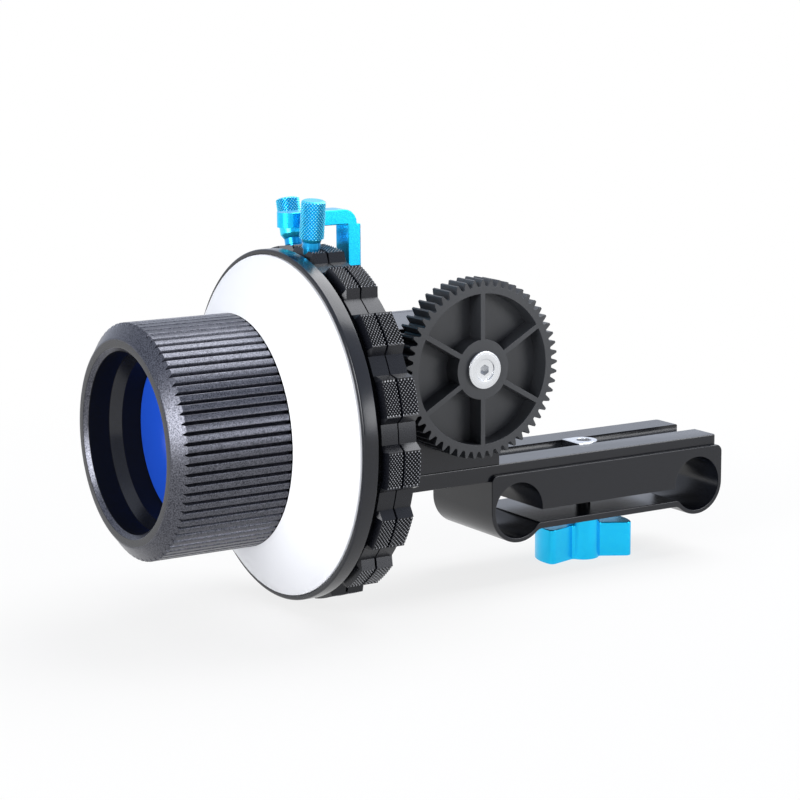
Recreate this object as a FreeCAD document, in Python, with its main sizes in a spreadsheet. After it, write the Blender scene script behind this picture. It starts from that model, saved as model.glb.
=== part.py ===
import FreeCAD, Part
import math
import os
import Sketcher

# Follow focus unit for a camera rig on two 15 mm rods.
# Frame: X runs along the hand wheel's axis, with the wheel at -X. Y runs along the rods. Z is up.
# Origin: axis of the wheel-side rod, at the clamp's front face. Lengths are in millimetres.

SIZES = {
    # rods and rod clamp
    "rod_dia": 15.0,            # rod bore
    "rod_spacing": 60.0,        # between the rods' axes
    "clamp_depth": 29.0,        # along the rods
    "lobe_wall": 1.19,          # round the rods
    "seat_height": 8.5,         # bar's seat above the rods' axes
    "lip_height": 1.7,          # lips above the seat
    "lip_thick": 1.1,
    "jaw_drop": 0.7,            # upper jaw's underside below the rods' axes
    "slit_height": 3.4,
    "web_thick": 1.8,           # lower jaw
    "throat_round": 3.0,        # outer curve from lobe to web
    "mouth_round": 1.6,         # inner curve from bore to web
    "clamp_corner": 2.0,
    # slide bar
    "bar_thick": 4.45,
    "bar_right": 67.5,
    "channel_start": -8.5,
    "channel_ledge": 1.6,       # each side of the slot
    "channel_depth": 2.5,
    "slot_start": 0.0,
    "slot_end": 62.0,
    "slot_play": 0.6,           # each side of the clamp screw
    # clamp screw, nut and wing knob
    "knob_x": 31.5,
    "stud_dia": 4.0,
    "nut_length": 7.4,
    "nut_rise": 0.3,            # nut's top above the bar
    "stud_drop": 0.8,           # stud's end below the nut's top
    "knob_bottom": -19.9,
    "knob_top": -10.2,
    "knob_dia": 27.0,
    "knob_angle": -8.0,         # degrees, wings from the X axis
    "wing_flare": 23.0,         # degrees, each side of a wing
    "wing_corner": 1.4,
    "waist_width": 4.0,
    "waist_length": 8.0,
    "knob_neck_wall": 2.5,      # round the clamp screw
    "pressure_washer_land": 1.0,
    "pressure_washer_thick": 1.0,
    # gearbox
    "box_left_reach": 24.5,     # from the drive gear's axis
    "box_right_reach": 11.25,
    "box_back": 29.0,
    "box_height": 38.62,
    "box_wall": 3.0,
    "bearing_wall": 5.0,
    "box_floor": 5.0,
    "cover_thick": 3.0,
    "cover_screw_inset": 4.5,
    "bar_screw_inset": 2.7,     # in front of the cover
    "cover_boss_dia": 6.4,
    "cover_boss_length": 9.0,
    "neck_length": 6.2,
    "bearing_neck_wall": 3.0,
    "bearing_shoulder": 1.5,
    # shafts, bearings and inner gears
    "wheel_y": 14.5,
    "wheel_z": 27.8,
    "gear_x": -16.8,
    "main_shaft_dia": 8.0,
    "main_nose_dia": 4.0,
    "bearing_dia": 16.0,
    "bearing_width": 5.0,
    "idler_shaft_dia": 4.0,
    "output_shaft_dia": 6.0,
    "bush_wall": 1.5,
    "bush_length": 2.0,
    "gear_module": 0.8,
    "bevel_teeth": 14,
    "bevel_face": 2.0,          # along its own axis
    "bevel_hub_dia": 9.0,
    "bevel_hub_length": 3.8,
    "spur_teeth": 16,
    "spur_face": 3.2,
    "flank_play": 0.12,         # taken off each tooth's thickness
    # drive gear
    "drive_teeth": 56,
    "drive_front": -7.8,
    "drive_web": 2.7,
    "drive_rim_wall": 1.9,      # under the teeth
    "drive_hub_land": 2.9,      # round the screw's head
    "drive_ribs": 6,
    "drive_rib_thick": 1.4,
    "drive_first_rib": 30.0,    # degrees above +X
    "spacer_dia": 12.0,
    "gear_screw_head_dia": 9.8,
    "gear_screw_head": 1.0,
    "gear_screw_rim": 2.15,     # round the dish
    "gear_screw_dish": 0.35,
    "gear_screw_hex": 2.5,
    "gear_screw_hex_depth": 1.9,
    "gear_screw_reach": 9.0,
    # hand wheel
    "wheel_front": -107.6,
    "wheel_back": -76.7,
    "bore_dia": 45.2,
    "lip_chamfer": 0.7,
    "face_width": 2.5,          # flat front face
    "nose_length": 2.1,
    "nose_rise": 2.5,
    "grip_chamfer": 0.9,
    "grip_chamfer_rise": 1.2,
    "step_start": -100.9,
    "step_end": -98.0,
    "step_drop": 1.6,
    "disc_front": -93.0,
    "disc_thick": 1.5,
    "wheel_floor": 4.5,
    "wheel_shell": 5.5,         # grip's wall behind the floor
    "grip_ribs": 75,
    "rib_depth": 1.0,
    "rib_land": 1.5,            # width left on top of each rib
    "wheel_screw_circle": 32.0,
    "wheel_screws": 3,
    "wheel_screw_bite": 3.0,    # into the hub
    # hub, marking ring and stop rings
    "ring_front": -76.7,
    "ring_back": -66.1,
    "ring_dia": 86.7,
    "ring_thick": 1.6,          # along X
    "rim_front": -65.7,
    "rim_wall": 1.3,            # round the marking ring
    "rim_back": -61.6,
    "sleeve_dia": 77.0,
    "sleeve_wall": 3.0,
    "sleeve_back": -48.6,
    "hub_web_front": -71.0,
    "hub_boss_wall": 5.0,
    "hub_boss_back": -62.0,
    "washer_thick": 1.5,
    "washer_width": 3.0,
    "stop_a_front": -59.9,
    "stop_a_back": -55.1,
    "stop_b_front": -54.9,
    "stop_b_back": -50.0,
    "stop_wall": 4.5,           # sleeve to the flats between the pads
    "pad_rise": 2.2,
    "pad_count": 16,
    "pad_angle": 11.8,          # degrees of full height
    "pad_phase": 1.3,           # degrees, pad's middle past its screw
    "ramp_angle": 2.0,
    "stop_a_chamfer": 0.9,
    "stop_b_chamfer": 0.3,
    "retainer_width": 2.5,      # outside its groove
    "retainer_thick": 1.0,
    "retainer_bite": 1.2,       # depth of its groove
    # stop screws
    "stop_screw_dia": 4.0,
    "stop_head_dia": 6.3,
    "stop_neck_gap": 0.3,       # above the pad
    "stop_neck_dia": 4.6,
    "stop_neck_length": 2.7,
    "stop_head_length": 9.5,
    "stop_head_chamfer": 0.4,
    "stop_a_angle": -7.5,       # degrees from +Z towards +Y
    "stop_b_angle": 15.0,
    # fixed stop
    "bracket_tip": -63.4,
    "bracket_width": 6.4,
    "bracket_thick": 3.8,
    "bracket_overlap": 1.9,     # above the underside of the screws' heads
    "bracket_leg": 3.7,
    "bracket_ledge": 1.1,
    "bracket_foot_gap": 1.4,    # above the bearing neck
    "bracket_screw_low": 3.0,   # above the foot
    "bracket_screw_high": 7.8,
    # small screws
    "small_screw_dia": 3.0,
    "small_head_dia": 5.5,
    "small_head": 1.8,
    "hub_screw_dia": 4.0,
    "hub_screw_head_dia": 7.0,
    "hub_screw_head": 3.6,
    "hub_screw_length": 10.0,
    # clearances
    "run_clear": 0.04,          # radial, round turning parts
    "seat_clear": 0.05,         # round parts that are fixed together
    "slide_clear": 0.1,
    "turn_gap": 0.2,            # beside turning parts
    "nut_clear": 0.15,
}

ROLES = {"X": ("YZ_Plane", 1), "Y": ("XZ_Plane", -1), "Z": ("XY_Plane", 1)}
FULL_TURN = 360.0
UPWARDS = 90.0          # angle of +Z from +X
HEX_CORNERS = 6
STRAIGHT = 0.999        # share of its length that a straight edge runs along its axis
NEAR = 0.02             # distance at which an edge counts as the one at a corner
FLANK_STEPS = 4
PRESSURE_ANGLE = math.radians(20.0)
ADDENDUM = 0.9          # of the module, inner gears
DEDENDUM = 1.25         # of the module

doc = FreeCAD.newDocument("follow_focus")
sheet = doc.addObject("Spreadsheet::Sheet", "Sizes")


class Size:
    """A length that keeps its number and the formula that ties it to the sheet."""

    def __init__(self, number, formula):
        self.number = float(number)
        self.formula = formula

    def joined(self, other, sign, number):
        return Size(number, "(%s %s %s)" % (self.formula, sign, as_size(other).formula))

    def __add__(self, other):
        return self.joined(other, "+", self.number + as_size(other).number)

    def __sub__(self, other):
        return self.joined(other, "-", self.number - as_size(other).number)

    def __mul__(self, other):
        return self.joined(other, "*", self.number * as_size(other).number)

    def __truediv__(self, other):
        return self.joined(other, "/", self.number / as_size(other).number)

    def __radd__(self, other):
        return as_size(other) + self

    def __rsub__(self, other):
        return as_size(other) - self

    def __rmul__(self, other):
        return as_size(other) * self

    def __neg__(self):
        return Size(-self.number, "(0 - %s)" % self.formula)

    def __float__(self):
        return self.number


def as_size(value):
    if isinstance(value, Size):
        return value
    return Size(value, "(%r)" % float(value))


def fill_sheet():
    for row, (name, value) in enumerate(SIZES.items(), start=1):
        sheet.set("A%d" % row, name)
        sheet.set("B%d" % row, str(value))
        sheet.setAlias("B%d" % row, name)
    doc.recompute()


def size(name):
    return Size(sheet.get(name), "Sizes." + name)


def bind(item, path, value):
    item.setExpression(path, as_size(value).formula)


# ---------------------------------------------------------------- sketches and features

def origin_part(body, role):
    return next(part for part in body.Origin.OriginFeatures if part.Role == role)


def pin_point(sketch, geometry, corner, u, v):
    """Two bound distances from the sketch's origin hold one point."""
    for kind, value in (("DistanceX", as_size(u)), ("DistanceY", as_size(v))):
        index = sketch.addConstraint(
            Sketcher.Constraint(kind, -1, 1, geometry, corner, value.number))
        sketch.setExpression("Constraints[%d]" % index, value.formula)


def outline(*points):
    """Closed straight-sided outline through the points."""
    def draw(sketch):
        first = sketch.GeometryCount
        count = len(points)
        for i in range(count):
            ends = [points[i], points[(i + 1) % count]]
            vectors = [FreeCAD.Vector(float(u), float(v), 0) for u, v in ends]
            sketch.addGeometry(Part.LineSegment(*vectors))
        for i in range(count):
            after = first + (i + 1) % count
            sketch.addConstraint(Sketcher.Constraint("Coincident", first + i, 2, after, 1))
        for i, (u, v) in enumerate(points):
            pin_point(sketch, first + i, 1, u, v)
    return draw


def oblong(left, low, right, high):
    return outline((left, low), (right, low), (right, high), (left, high))


def disc(u, v, radius):
    def draw(sketch):
        centre = FreeCAD.Vector(float(u), float(v), 0)
        up = FreeCAD.Vector(0, 0, 1)
        index = sketch.addGeometry(Part.Circle(centre, up, float(radius)))
        pin_point(sketch, index, 3, u, v)
        number = sketch.addConstraint(Sketcher.Constraint("Radius", index, float(radius)))
        sketch.setExpression("Constraints[%d]" % number, as_size(radius).formula)
    return draw


def new_sketch(body, axis, station, shapes):
    role, sign = ROLES[axis]
    sketch = body.newObject("Sketcher::SketchObject", body.Label + "_sketch")
    sketch.AttachmentSupport = (origin_part(body, role), [""])
    sketch.MapMode = "FlatFace"
    bind(sketch, "AttachmentOffset.Base.z", sign * as_size(station))
    for draw in shapes:
        draw(sketch)
    return sketch


def pad(body, axis, low, high, *shapes):
    """Adds the drawn shapes between two stations along an axis."""
    start = low if ROLES[axis][1] > 0 else high
    feature = body.newObject("PartDesign::Pad", body.Label + "_pad")
    feature.Profile = new_sketch(body, axis, start, shapes)
    bind(feature, "Length", as_size(high) - low)
    return feature


def pocket(body, axis, low, high, *shapes):
    """Cuts the drawn shapes away between two stations along an axis."""
    doc.recompute()
    before = body.Shape.Volume
    start = high if ROLES[axis][1] > 0 else low
    feature = body.newObject("PartDesign::Pocket", body.Label + "_pocket")
    feature.Profile = new_sketch(body, axis, start, shapes)
    bind(feature, "Length", as_size(high) - low)
    doc.recompute()
    if body.Shape.Volume >= before:
        raise ValueError("a pocket of %s cut nothing" % body.Label)
    return feature


def revolution(body, axis, profile):
    """Turns a closed profile of (station, radius) points about an axis of the body."""
    if axis == "Z":
        sketch = new_sketch(body, "Y", 0, [outline(*[(r, at) for at, r in profile])])
        line = "V_Axis"
    else:
        sketch = new_sketch(body, {"X": "Y", "Y": "X"}[axis], 0, [outline(*profile)])
        line = "H_Axis"
    feature = body.newObject("PartDesign::Revolution", body.Label + "_turn")
    feature.Profile = sketch
    feature.ReferenceAxis = (sketch, [line])
    feature.Angle = FULL_TURN
    return feature


def polar(body, features, axis, count):
    pattern = body.newObject("PartDesign::PolarPattern", body.Label + "_pattern")
    pattern.Originals = features
    pattern.Axis = (origin_part(body, axis + "_Axis"), [""])
    pattern.Angle = FULL_TURN
    bind(pattern, "Occurrences", count)
    body.Tip = pattern
    doc.recompute()
    return pattern


def round_edges(body, axis, corners, radius):
    """Rounds the straight edges that run along an axis through the given corners."""
    doc.recompute()
    along = {"X": 0, "Y": 1, "Z": 2}[axis]
    base = body.Tip
    names = []
    for number, edge in enumerate(base.Shape.Edges, start=1):
        ends = [vertex.Point for vertex in edge.Vertexes]
        if len(ends) != 2 or abs(ends[0][along] - ends[1][along]) < edge.Length * STRAIGHT:
            continue
        place = [ends[0][i] for i in range(3) if i != along]
        if any(math.dist(place, [float(c) for c in corner]) < NEAR for corner in corners):
            names.append("Edge%d" % number)
    if len(names) < len(corners):
        raise ValueError("an edge of %s is missing" % body.Label)
    fillet = body.newObject("PartDesign::Fillet", body.Label + "_round")
    fillet.Base = (base, names)
    bind(fillet, "Radius", radius)
    doc.recompute()
    return fillet


def new_body(label, x=0, y=0, z=0):
    body = doc.addObject("PartDesign::Body", label)
    body.Label = label
    bind(body, "Placement.Base.x", x)
    bind(body, "Placement.Base.y", y)
    bind(body, "Placement.Base.z", z)
    return body


def turned(label, axis, profile, x=0, y=0, z=0):
    body = new_body(label, x, y, z)
    revolution(body, axis, profile)
    doc.recompute()
    return body


def computed(label, shape, place=None):
    """A sub-part whose shape is worked out here from the sheet's sizes."""
    feature = doc.addObject("Part::Feature", label)
    feature.Label = label
    feature.Shape = shape
    feature.Placement = place or FreeCAD.Placement()
    return feature


def ring_profile(low, high, inner, outer):
    return [(low, inner), (high, inner), (high, outer), (low, outer)]


fill_sheet()

# ---------------------------------------------------------------- shared stations

run_clear = size("run_clear")
seat_clear = size("seat_clear")
turn_gap = size("turn_gap")
rod_radius = size("rod_dia") / 2
rod_spacing = size("rod_spacing")
lobe_radius = rod_radius + size("lobe_wall")
clamp_depth = size("clamp_depth")
seat_z = size("seat_height")
jaw_z = -size("jaw_drop")
web_top = jaw_z - size("slit_height")
web_bottom = web_top - size("web_thick")
bar_front = size("lip_thick") + size("slide_clear")
bar_back = clamp_depth - bar_front
bar_y = clamp_depth / 2
bar_top = seat_z + size("bar_thick")
knob_x = size("knob_x")
stud_radius = size("stud_dia") / 2
gear_x = size("gear_x")
box_left = gear_x - size("box_left_reach")
box_right = gear_x + size("box_right_reach")
box_back = size("box_back")
box_top = bar_top + size("box_height")
cover_front = box_back - size("cover_thick")
inner_front = bar_front + size("box_wall")
wheel_y = size("wheel_y")
wheel_z = size("wheel_z")
module = size("gear_module")
bevel_radius = module * size("bevel_teeth") / 2
spur_radius = module * size("spur_teeth") / 2
gear_z = wheel_z + spur_radius * 2
main_radius = size("main_shaft_dia") / 2
nose_radius = size("main_nose_dia") / 2
bearing_radius = size("bearing_dia") / 2
idler_radius = size("idler_shaft_dia") / 2
output_radius = size("output_shaft_dia") / 2
bush_wall = size("bush_wall")
bush_length = size("bush_length")
small_radius = size("small_screw_dia") / 2
small_hole = small_radius + seat_clear
small_head_radius = size("small_head_dia") / 2
small_head = size("small_head")
neck_radius = bearing_radius + size("bearing_neck_wall")
slot_half = stud_radius + size("slot_play")
channel_half = slot_half + size("channel_ledge")
knob_neck_radius = stud_radius + size("knob_neck_wall")
pressure_washer_radius = knob_neck_radius + size("pressure_washer_land")
bore_radius = size("bore_dia") / 2
lip_radius = bore_radius + size("lip_chamfer")
nose_radius_front = lip_radius + size("face_width")
nose_radius_back = nose_radius_front + size("nose_rise")
grip_radius = nose_radius_back + size("grip_chamfer_rise")
step_radius = bore_radius - size("step_drop")
disc_radius = step_radius - turn_gap
wheel_cavity_radius = grip_radius - size("wheel_shell")
ring_radius = size("ring_dia") / 2
ring_seat_radius = ring_radius + seat_clear
rim_radius = ring_seat_radius + size("rim_wall")
sleeve_radius = size("sleeve_dia") / 2
stop_radius = sleeve_radius + size("stop_wall")
pad_radius = stop_radius + size("pad_rise")
stop_neck_bottom = pad_radius + size("stop_neck_gap")
stop_head_bottom = stop_neck_bottom + size("stop_neck_length")
stop_head_top = stop_head_bottom + size("stop_head_length")
bracket_bottom = wheel_z + stop_head_bottom + size("bracket_overlap")
bracket_foot = wheel_z + neck_radius + size("bracket_foot_gap")
bracket_screw_heights = (bracket_foot + size("bracket_screw_low"),
                         bracket_foot + size("bracket_screw_high"))
gear_head_radius = size("gear_screw_head_dia") / 2
wheel_floor_front = size("disc_front") + size("disc_thick")
wheel_floor_back = wheel_floor_front + size("wheel_floor")
hub_front = wheel_floor_back + seat_clear
shaft_front = hub_front + size("hub_screw_head") + size("bearing_width")
drive_front = size("drive_front")
drive_back = as_size(0)
output_front = drive_front + size("gear_screw_head")


def screw(head_radius, head, radius, length):
    """Cap screw along +Z, with its head's top at the origin and its shank below."""
    top = Part.makeCylinder(head_radius, head, FreeCAD.Vector(0, 0, -head))
    shank = Part.makeCylinder(radius, length, FreeCAD.Vector(0, 0, -head - length))
    return top.fuse(shank).removeSplitter()


def placed(shape, direction, point):
    """Copy of a shape whose +Z is turned to the direction and whose origin is at the point."""
    turn = FreeCAD.Rotation(FreeCAD.Vector(0, 0, 1), FreeCAD.Vector(*direction))
    copy = shape.copy()
    copy.Placement = FreeCAD.Placement(FreeCAD.Vector(*[float(c) for c in point]), turn)
    return copy


# ---------------------------------------------------------------- rod clamp and slide bar

def rod_clamp():
    body = new_body("rod_clamp")
    right = rod_spacing + lobe_radius
    lip_top = seat_z + size("lip_height")
    pad(body, "Y", 0, clamp_depth, oblong(-lobe_radius, 0, right, lip_top))
    pad(body, "Y", 0, clamp_depth, disc(0, 0, lobe_radius), disc(rod_spacing, 0, lobe_radius))
    pad(body, "Y", 0, clamp_depth, oblong(0, web_bottom, rod_spacing, 0))
    throat = math.sqrt(float(lobe_radius) ** 2 - float(web_bottom) ** 2)
    far = float(rod_spacing)
    round_edges(body, "Y", [(throat, web_bottom), (far - throat, web_bottom)], size("throat_round"))
    round_edges(body, "Y", [(-lobe_radius, lip_top), (right, lip_top)], size("clamp_corner"))
    pocket(body, "Y", 0, clamp_depth, disc(0, 0, rod_radius), disc(rod_spacing, 0, rod_radius))
    pocket(body, "Y", 0, clamp_depth, oblong(0, web_top, rod_spacing, jaw_z))
    mouth = math.sqrt(float(rod_radius) ** 2 - float(web_top) ** 2)
    round_edges(body, "Y", [(mouth, web_top), (far - mouth, web_top)], size("mouth_round"))
    lip_back = clamp_depth - size("lip_thick")
    pocket(body, "Z", seat_z, lip_top, oblong(-lobe_radius, size("lip_thick"), right, lip_back))
    pocket(body, "Z", web_bottom, seat_z, disc(knob_x, bar_y, stud_radius + run_clear))


def bar_screw_places():
    left = box_left + size("cover_screw_inset") * 2
    right = box_right - size("cover_screw_inset") * 2
    near = bar_front + size("cover_screw_inset")
    far = cover_front - size("bar_screw_inset")
    return [(x, y) for x in (left, right) for y in (near, far)]


def slide_bar():
    body = new_body("slide_bar")
    right = size("bar_right")
    channel_floor = bar_top - size("channel_depth")
    round_start = size("channel_start") + channel_half
    slot_left = size("slot_start") + slot_half
    slot_right = size("slot_end") - slot_half
    pad(body, "Z", seat_z, bar_top, oblong(box_left, bar_front, right, bar_back))
    low = bar_y - channel_half
    high = bar_y + channel_half
    pocket(body, "Z", channel_floor, bar_top, oblong(round_start, low, right, high))
    pocket(body, "Z", channel_floor, bar_top, disc(round_start, bar_y, channel_half))
    low = bar_y - slot_half
    high = bar_y + slot_half
    pocket(body, "Z", seat_z, channel_floor, oblong(slot_left, low, slot_right, high))
    pocket(body, "Z", seat_z, channel_floor, disc(slot_left, bar_y, slot_half))
    pocket(body, "Z", seat_z, channel_floor, disc(slot_right, bar_y, slot_half))
    holes = [disc(x, y, small_hole) for x, y in bar_screw_places()]
    pocket(body, "Z", seat_z, bar_top, *holes)
    heads = [disc(x, y, small_head_radius + seat_clear) for x, y in bar_screw_places()]
    pocket(body, "Z", seat_z, seat_z + small_head + seat_clear, *heads)


def bar_screws():
    length = float(bar_top - seat_z - small_head + size("box_floor") - turn_gap)
    one = screw(float(small_head_radius), float(small_head), float(small_radius), length)
    solids = [placed(one, (0, 0, -1), (x, y, seat_z + seat_clear)) for x, y in bar_screw_places()]
    computed("bar_screws", Part.makeCompound(solids))


def t_nut():
    body = new_body("t_nut")
    half = channel_half - size("nut_clear")
    middle = size("nut_length") / 2
    bottom = bar_top - size("channel_depth")
    top = bar_top + size("nut_rise")
    round_centre = knob_x + middle - half
    left = knob_x - middle
    pad(body, "Z", bottom, top, oblong(left, bar_y - half, round_centre, bar_y + half))
    pad(body, "Z", bottom, top, disc(round_centre, bar_y, half))
    pocket(body, "Z", bottom, top, disc(knob_x, bar_y, stud_radius + run_clear))


def wing_knob():
    """Disc notched in front and behind, which leaves two flared wings either side of the neck."""
    body = new_body("wing_knob", knob_x, bar_y, 0)
    body.Placement.Rotation = FreeCAD.Rotation(FreeCAD.Vector(0, 0, 1), float(size("knob_angle")))
    bottom = size("knob_bottom")
    top = size("knob_top")
    radius = size("knob_dia") / 2
    half_waist = size("waist_width") / 2
    notch = size("waist_length") / 2
    slope = math.tan(math.radians(float(size("wing_flare"))))
    outside = radius + turn_gap
    edge = half_waist + slope * (outside - notch)
    washer_bottom = web_bottom - size("pressure_washer_thick")
    pad(body, "Z", bottom, top, disc(0, 0, radius))
    for side in (-1, 1):
        pocket(body, "Z", bottom, top, outline(
            (-outside, side * outside), (outside, side * outside), (outside, side * edge),
            (notch, side * half_waist), (-notch, side * half_waist), (-outside, side * edge)))
    start = float(half_waist) - slope * float(notch)
    across = 1 + slope ** 2
    root = math.sqrt(float(radius) ** 2 * across - start ** 2)
    corner_x = (root - slope * start) / across
    corner_y = start + slope * corner_x
    corners = [(x * corner_x, y * corner_y) for x in (-1, 1) for y in (-1, 1)]
    round_edges(body, "Z", corners, size("wing_corner"))
    pad(body, "Z", bottom, washer_bottom, disc(0, 0, knob_neck_radius))
    pocket(body, "Z", bottom + size("box_wall"), washer_bottom, disc(0, 0, stud_radius + seat_clear))


def clamp_stud():
    bottom = size("knob_bottom") + size("box_wall") + seat_clear
    top = bar_top + size("nut_rise") - size("stud_drop")
    turned("clamp_stud", "Z", [(bottom, 0), (bottom, stud_radius), (top, stud_radius), (top, 0)],
           knob_x, bar_y, 0)


def clamp_washer():
    bottom = web_bottom - size("pressure_washer_thick")
    profile = ring_profile(bottom, web_bottom, stud_radius + run_clear, pressure_washer_radius)
    turned("clamp_washer", "Z", profile, knob_x, bar_y, 0)


# ---------------------------------------------------------------- gearbox

def cover_screw_places():
    inset = size("cover_screw_inset")
    xs = (box_left + inset, box_right - inset)
    zs = (bar_top + inset, box_top - inset)
    return [(x, z) for x in xs for z in zs]


def bush_radius(shaft_radius):
    return shaft_radius + run_clear + bush_wall


def gearbox_housing():
    body = new_body("gearbox_housing")
    inner_left = box_left + size("bearing_wall")
    inner_right = box_right - size("box_wall")
    inner_low = bar_top + size("box_floor")
    inner_high = box_top - size("box_wall")
    neck_front = box_left - size("neck_length")
    bearing_hole = bearing_radius + seat_clear
    shoulder = bearing_radius - size("bearing_shoulder")
    pad(body, "Y", bar_front, cover_front, oblong(box_left, bar_top, box_right, box_top))
    pocket(body, "Y", inner_front, cover_front, oblong(inner_left, inner_low, inner_right, inner_high))
    boss_front = cover_front - size("cover_boss_length")
    for x, z in cover_screw_places():
        pad(body, "Y", boss_front, cover_front, disc(x, z, size("cover_boss_dia") / 2))
    depth = size("cover_boss_length") - turn_gap
    holes = [disc(x, z, small_hole) for x, z in cover_screw_places()]
    pocket(body, "Y", cover_front - depth, cover_front, *holes)
    pad(body, "X", neck_front, box_left, disc(wheel_y, wheel_z, neck_radius))
    pocket(body, "X", neck_front, inner_left, disc(wheel_y, wheel_z, shoulder))
    front_seat = neck_front + size("bearing_width") + turn_gap
    pocket(body, "X", neck_front, front_seat, disc(wheel_y, wheel_z, bearing_hole))
    pocket(body, "X", box_left, inner_left, disc(wheel_y, wheel_z, bearing_hole))
    bush_back = inner_front - bush_length
    pocket(body, "Y", bush_back, inner_front,
           disc(gear_x, wheel_z, bush_radius(idler_radius) + seat_clear),
           disc(gear_x, gear_z, bush_radius(output_radius) + seat_clear))
    pocket(body, "Y", bar_front, bush_back, disc(gear_x, gear_z, output_radius + turn_gap))
    pocket(body, "X", box_left, inner_left,
           *[disc(wheel_y, z, small_hole) for z in bracket_screw_heights])
    pocket(body, "Z", bar_top, inner_low, *[disc(x, y, small_hole) for x, y in bar_screw_places()])


def gearbox_cover():
    body = new_body("gearbox_cover")
    pad(body, "Y", cover_front, box_back, oblong(box_left, bar_top, box_right, box_top))
    pocket(body, "Y", cover_front, cover_front + bush_length,
           disc(gear_x, wheel_z, bush_radius(idler_radius) + seat_clear),
           disc(gear_x, gear_z, bush_radius(output_radius) + seat_clear))
    places = cover_screw_places()
    pocket(body, "Y", cover_front, box_back, *[disc(x, z, small_hole) for x, z in places])
    head = small_head + seat_clear
    pocket(body, "Y", box_back - head, box_back,
           *[disc(x, z, small_head_radius + seat_clear) for x, z in places])


def cover_screws():
    length = float(size("cover_thick") - small_head + size("cover_boss_length") - turn_gap * 2)
    one = screw(float(small_head_radius), float(small_head), float(small_radius), length)
    solids = [placed(one, (0, 1, 0), (x, box_back - seat_clear, z)) for x, z in cover_screw_places()]
    computed("cover_screws", Part.makeCompound(solids))


def main_bearings():
    outer_front = box_left - size("neck_length") + turn_gap
    stations = {"main_bearing_outer": outer_front, "main_bearing_inner": box_left}
    for label, front in stations.items():
        profile = ring_profile(front, front + size("bearing_width"), main_radius + run_clear, bearing_radius)
        turned(label, "X", profile, 0, wheel_y, wheel_z)


def shaft_bushes():
    shafts = {"idler": (idler_radius, wheel_z), "output": (output_radius, gear_z)}
    for name, (radius, z) in shafts.items():
        for end, start in (("front", inner_front - bush_length), ("rear", cover_front)):
            profile = ring_profile(start, start + bush_length, radius + run_clear, bush_radius(radius))
            turned("%s_bush_%s" % (name, end), "Y", profile, gear_x, 0, z)


# ---------------------------------------------------------------- gear teeth

def flank(teeth, modulus, tip, root, play):
    """Points of one involute flank from root to tip, as (radius, half angle of the tooth)."""
    pitch = teeth * modulus / 2
    base = pitch * math.cos(PRESSURE_ANGLE)
    involute = math.tan(PRESSURE_ANGLE) - PRESSURE_ANGLE
    half = (math.pi * modulus / 2 - play) / 2 / pitch
    points = []
    for step in range(FLANK_STEPS + 1):
        radius = root + (tip - root) * step / FLANK_STEPS
        roll = math.acos(min(1.0, base / radius))
        points.append((radius, half + involute - (math.tan(roll) - roll)))
    return points


def toothed_wire(teeth, modulus, tip, root, play, first=0.0, scale=1.0):
    """Closed outline of a gear in the XY plane, with a tooth centred at the first angle."""
    curve = flank(teeth, modulus, tip, root, play)
    points = []
    for tooth in range(teeth):
        middle = math.radians(first) + 2 * math.pi * tooth / teeth
        rising = [(r, middle - a) for r, a in curve]
        falling = [(r, middle + a) for r, a in reversed(curve)]
        points += [FreeCAD.Vector(r * scale * math.cos(a), r * scale * math.sin(a), 0)
                   for r, a in rising + falling]
    return Part.makePolygon(points + points[:1])


def spur_gear(teeth, face, bore, first, tip, root):
    """Spur gear along +Z from the origin."""
    wire = toothed_wire(teeth, float(module), tip, root, float(size("flank_play")), first)
    solid = Part.Face(wire).extrude(FreeCAD.Vector(0, 0, face))
    return solid.cut(Part.makeCylinder(bore, face))


def bevel_gear(bore, first):
    """Mitre gear whose apex is the origin, with its hub towards -Z."""
    teeth = int(float(size("bevel_teeth")))
    modulus = float(module)
    pitch = float(bevel_radius)
    face = float(size("bevel_face"))
    hub = float(size("bevel_hub_length"))
    tip = pitch + ADDENDUM * modulus
    root = pitch - DEDENDUM * modulus
    wires = []
    for distance in (pitch, pitch - face):
        wire = toothed_wire(teeth, modulus, tip, root, float(size("flank_play")), first, distance / pitch)
        wire.translate(FreeCAD.Vector(0, 0, -distance))
        wires.append(wire)
    teeth_solid = Part.makeLoft(wires, True, True)
    radius = float(size("bevel_hub_dia")) / 2
    hub_solid = Part.makeCylinder(radius, hub, FreeCAD.Vector(0, 0, -pitch - hub))
    hole = Part.makeCylinder(bore, hub + pitch, FreeCAD.Vector(0, 0, -pitch - hub))
    return teeth_solid.fuse(hub_solid).cut(hole)


def spur_limits():
    radius = float(spur_radius)
    return radius + ADDENDUM * float(module), radius - DEDENDUM * float(module)


def spur_front():
    return inner_front + turn_gap * 2


def to_y_axis():
    """Turns +Z to +Y and keeps +X, so that angles run from +X towards -Z."""
    return FreeCAD.Rotation(FreeCAD.Vector(1, 0, 0), -90)


def input_bevel_gear():
    shape = bevel_gear(float(nose_radius + seat_clear), 0.0)
    turn = FreeCAD.Rotation(FreeCAD.Matrix(0, 0, 1, 0, 1, 0, 0, 0, 0, 1, 0, 0, 0, 0, 0, 1))
    apex = FreeCAD.Vector(float(gear_x), float(wheel_y), float(wheel_z))
    computed("input_bevel_gear", shape, FreeCAD.Placement(apex, turn))


def idler_bevel_gear():
    half_pitch = FULL_TURN / float(size("bevel_teeth")) / 2
    shape = bevel_gear(float(idler_radius + seat_clear), half_pitch)
    turn = FreeCAD.Rotation(FreeCAD.Matrix(-1, 0, 0, 0, 0, 0, -1, 0, 0, -1, 0, 0, 0, 0, 0, 1))
    apex = FreeCAD.Vector(float(gear_x), float(wheel_y), float(wheel_z))
    computed("idler_bevel_gear", shape, FreeCAD.Placement(apex, turn))


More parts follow.
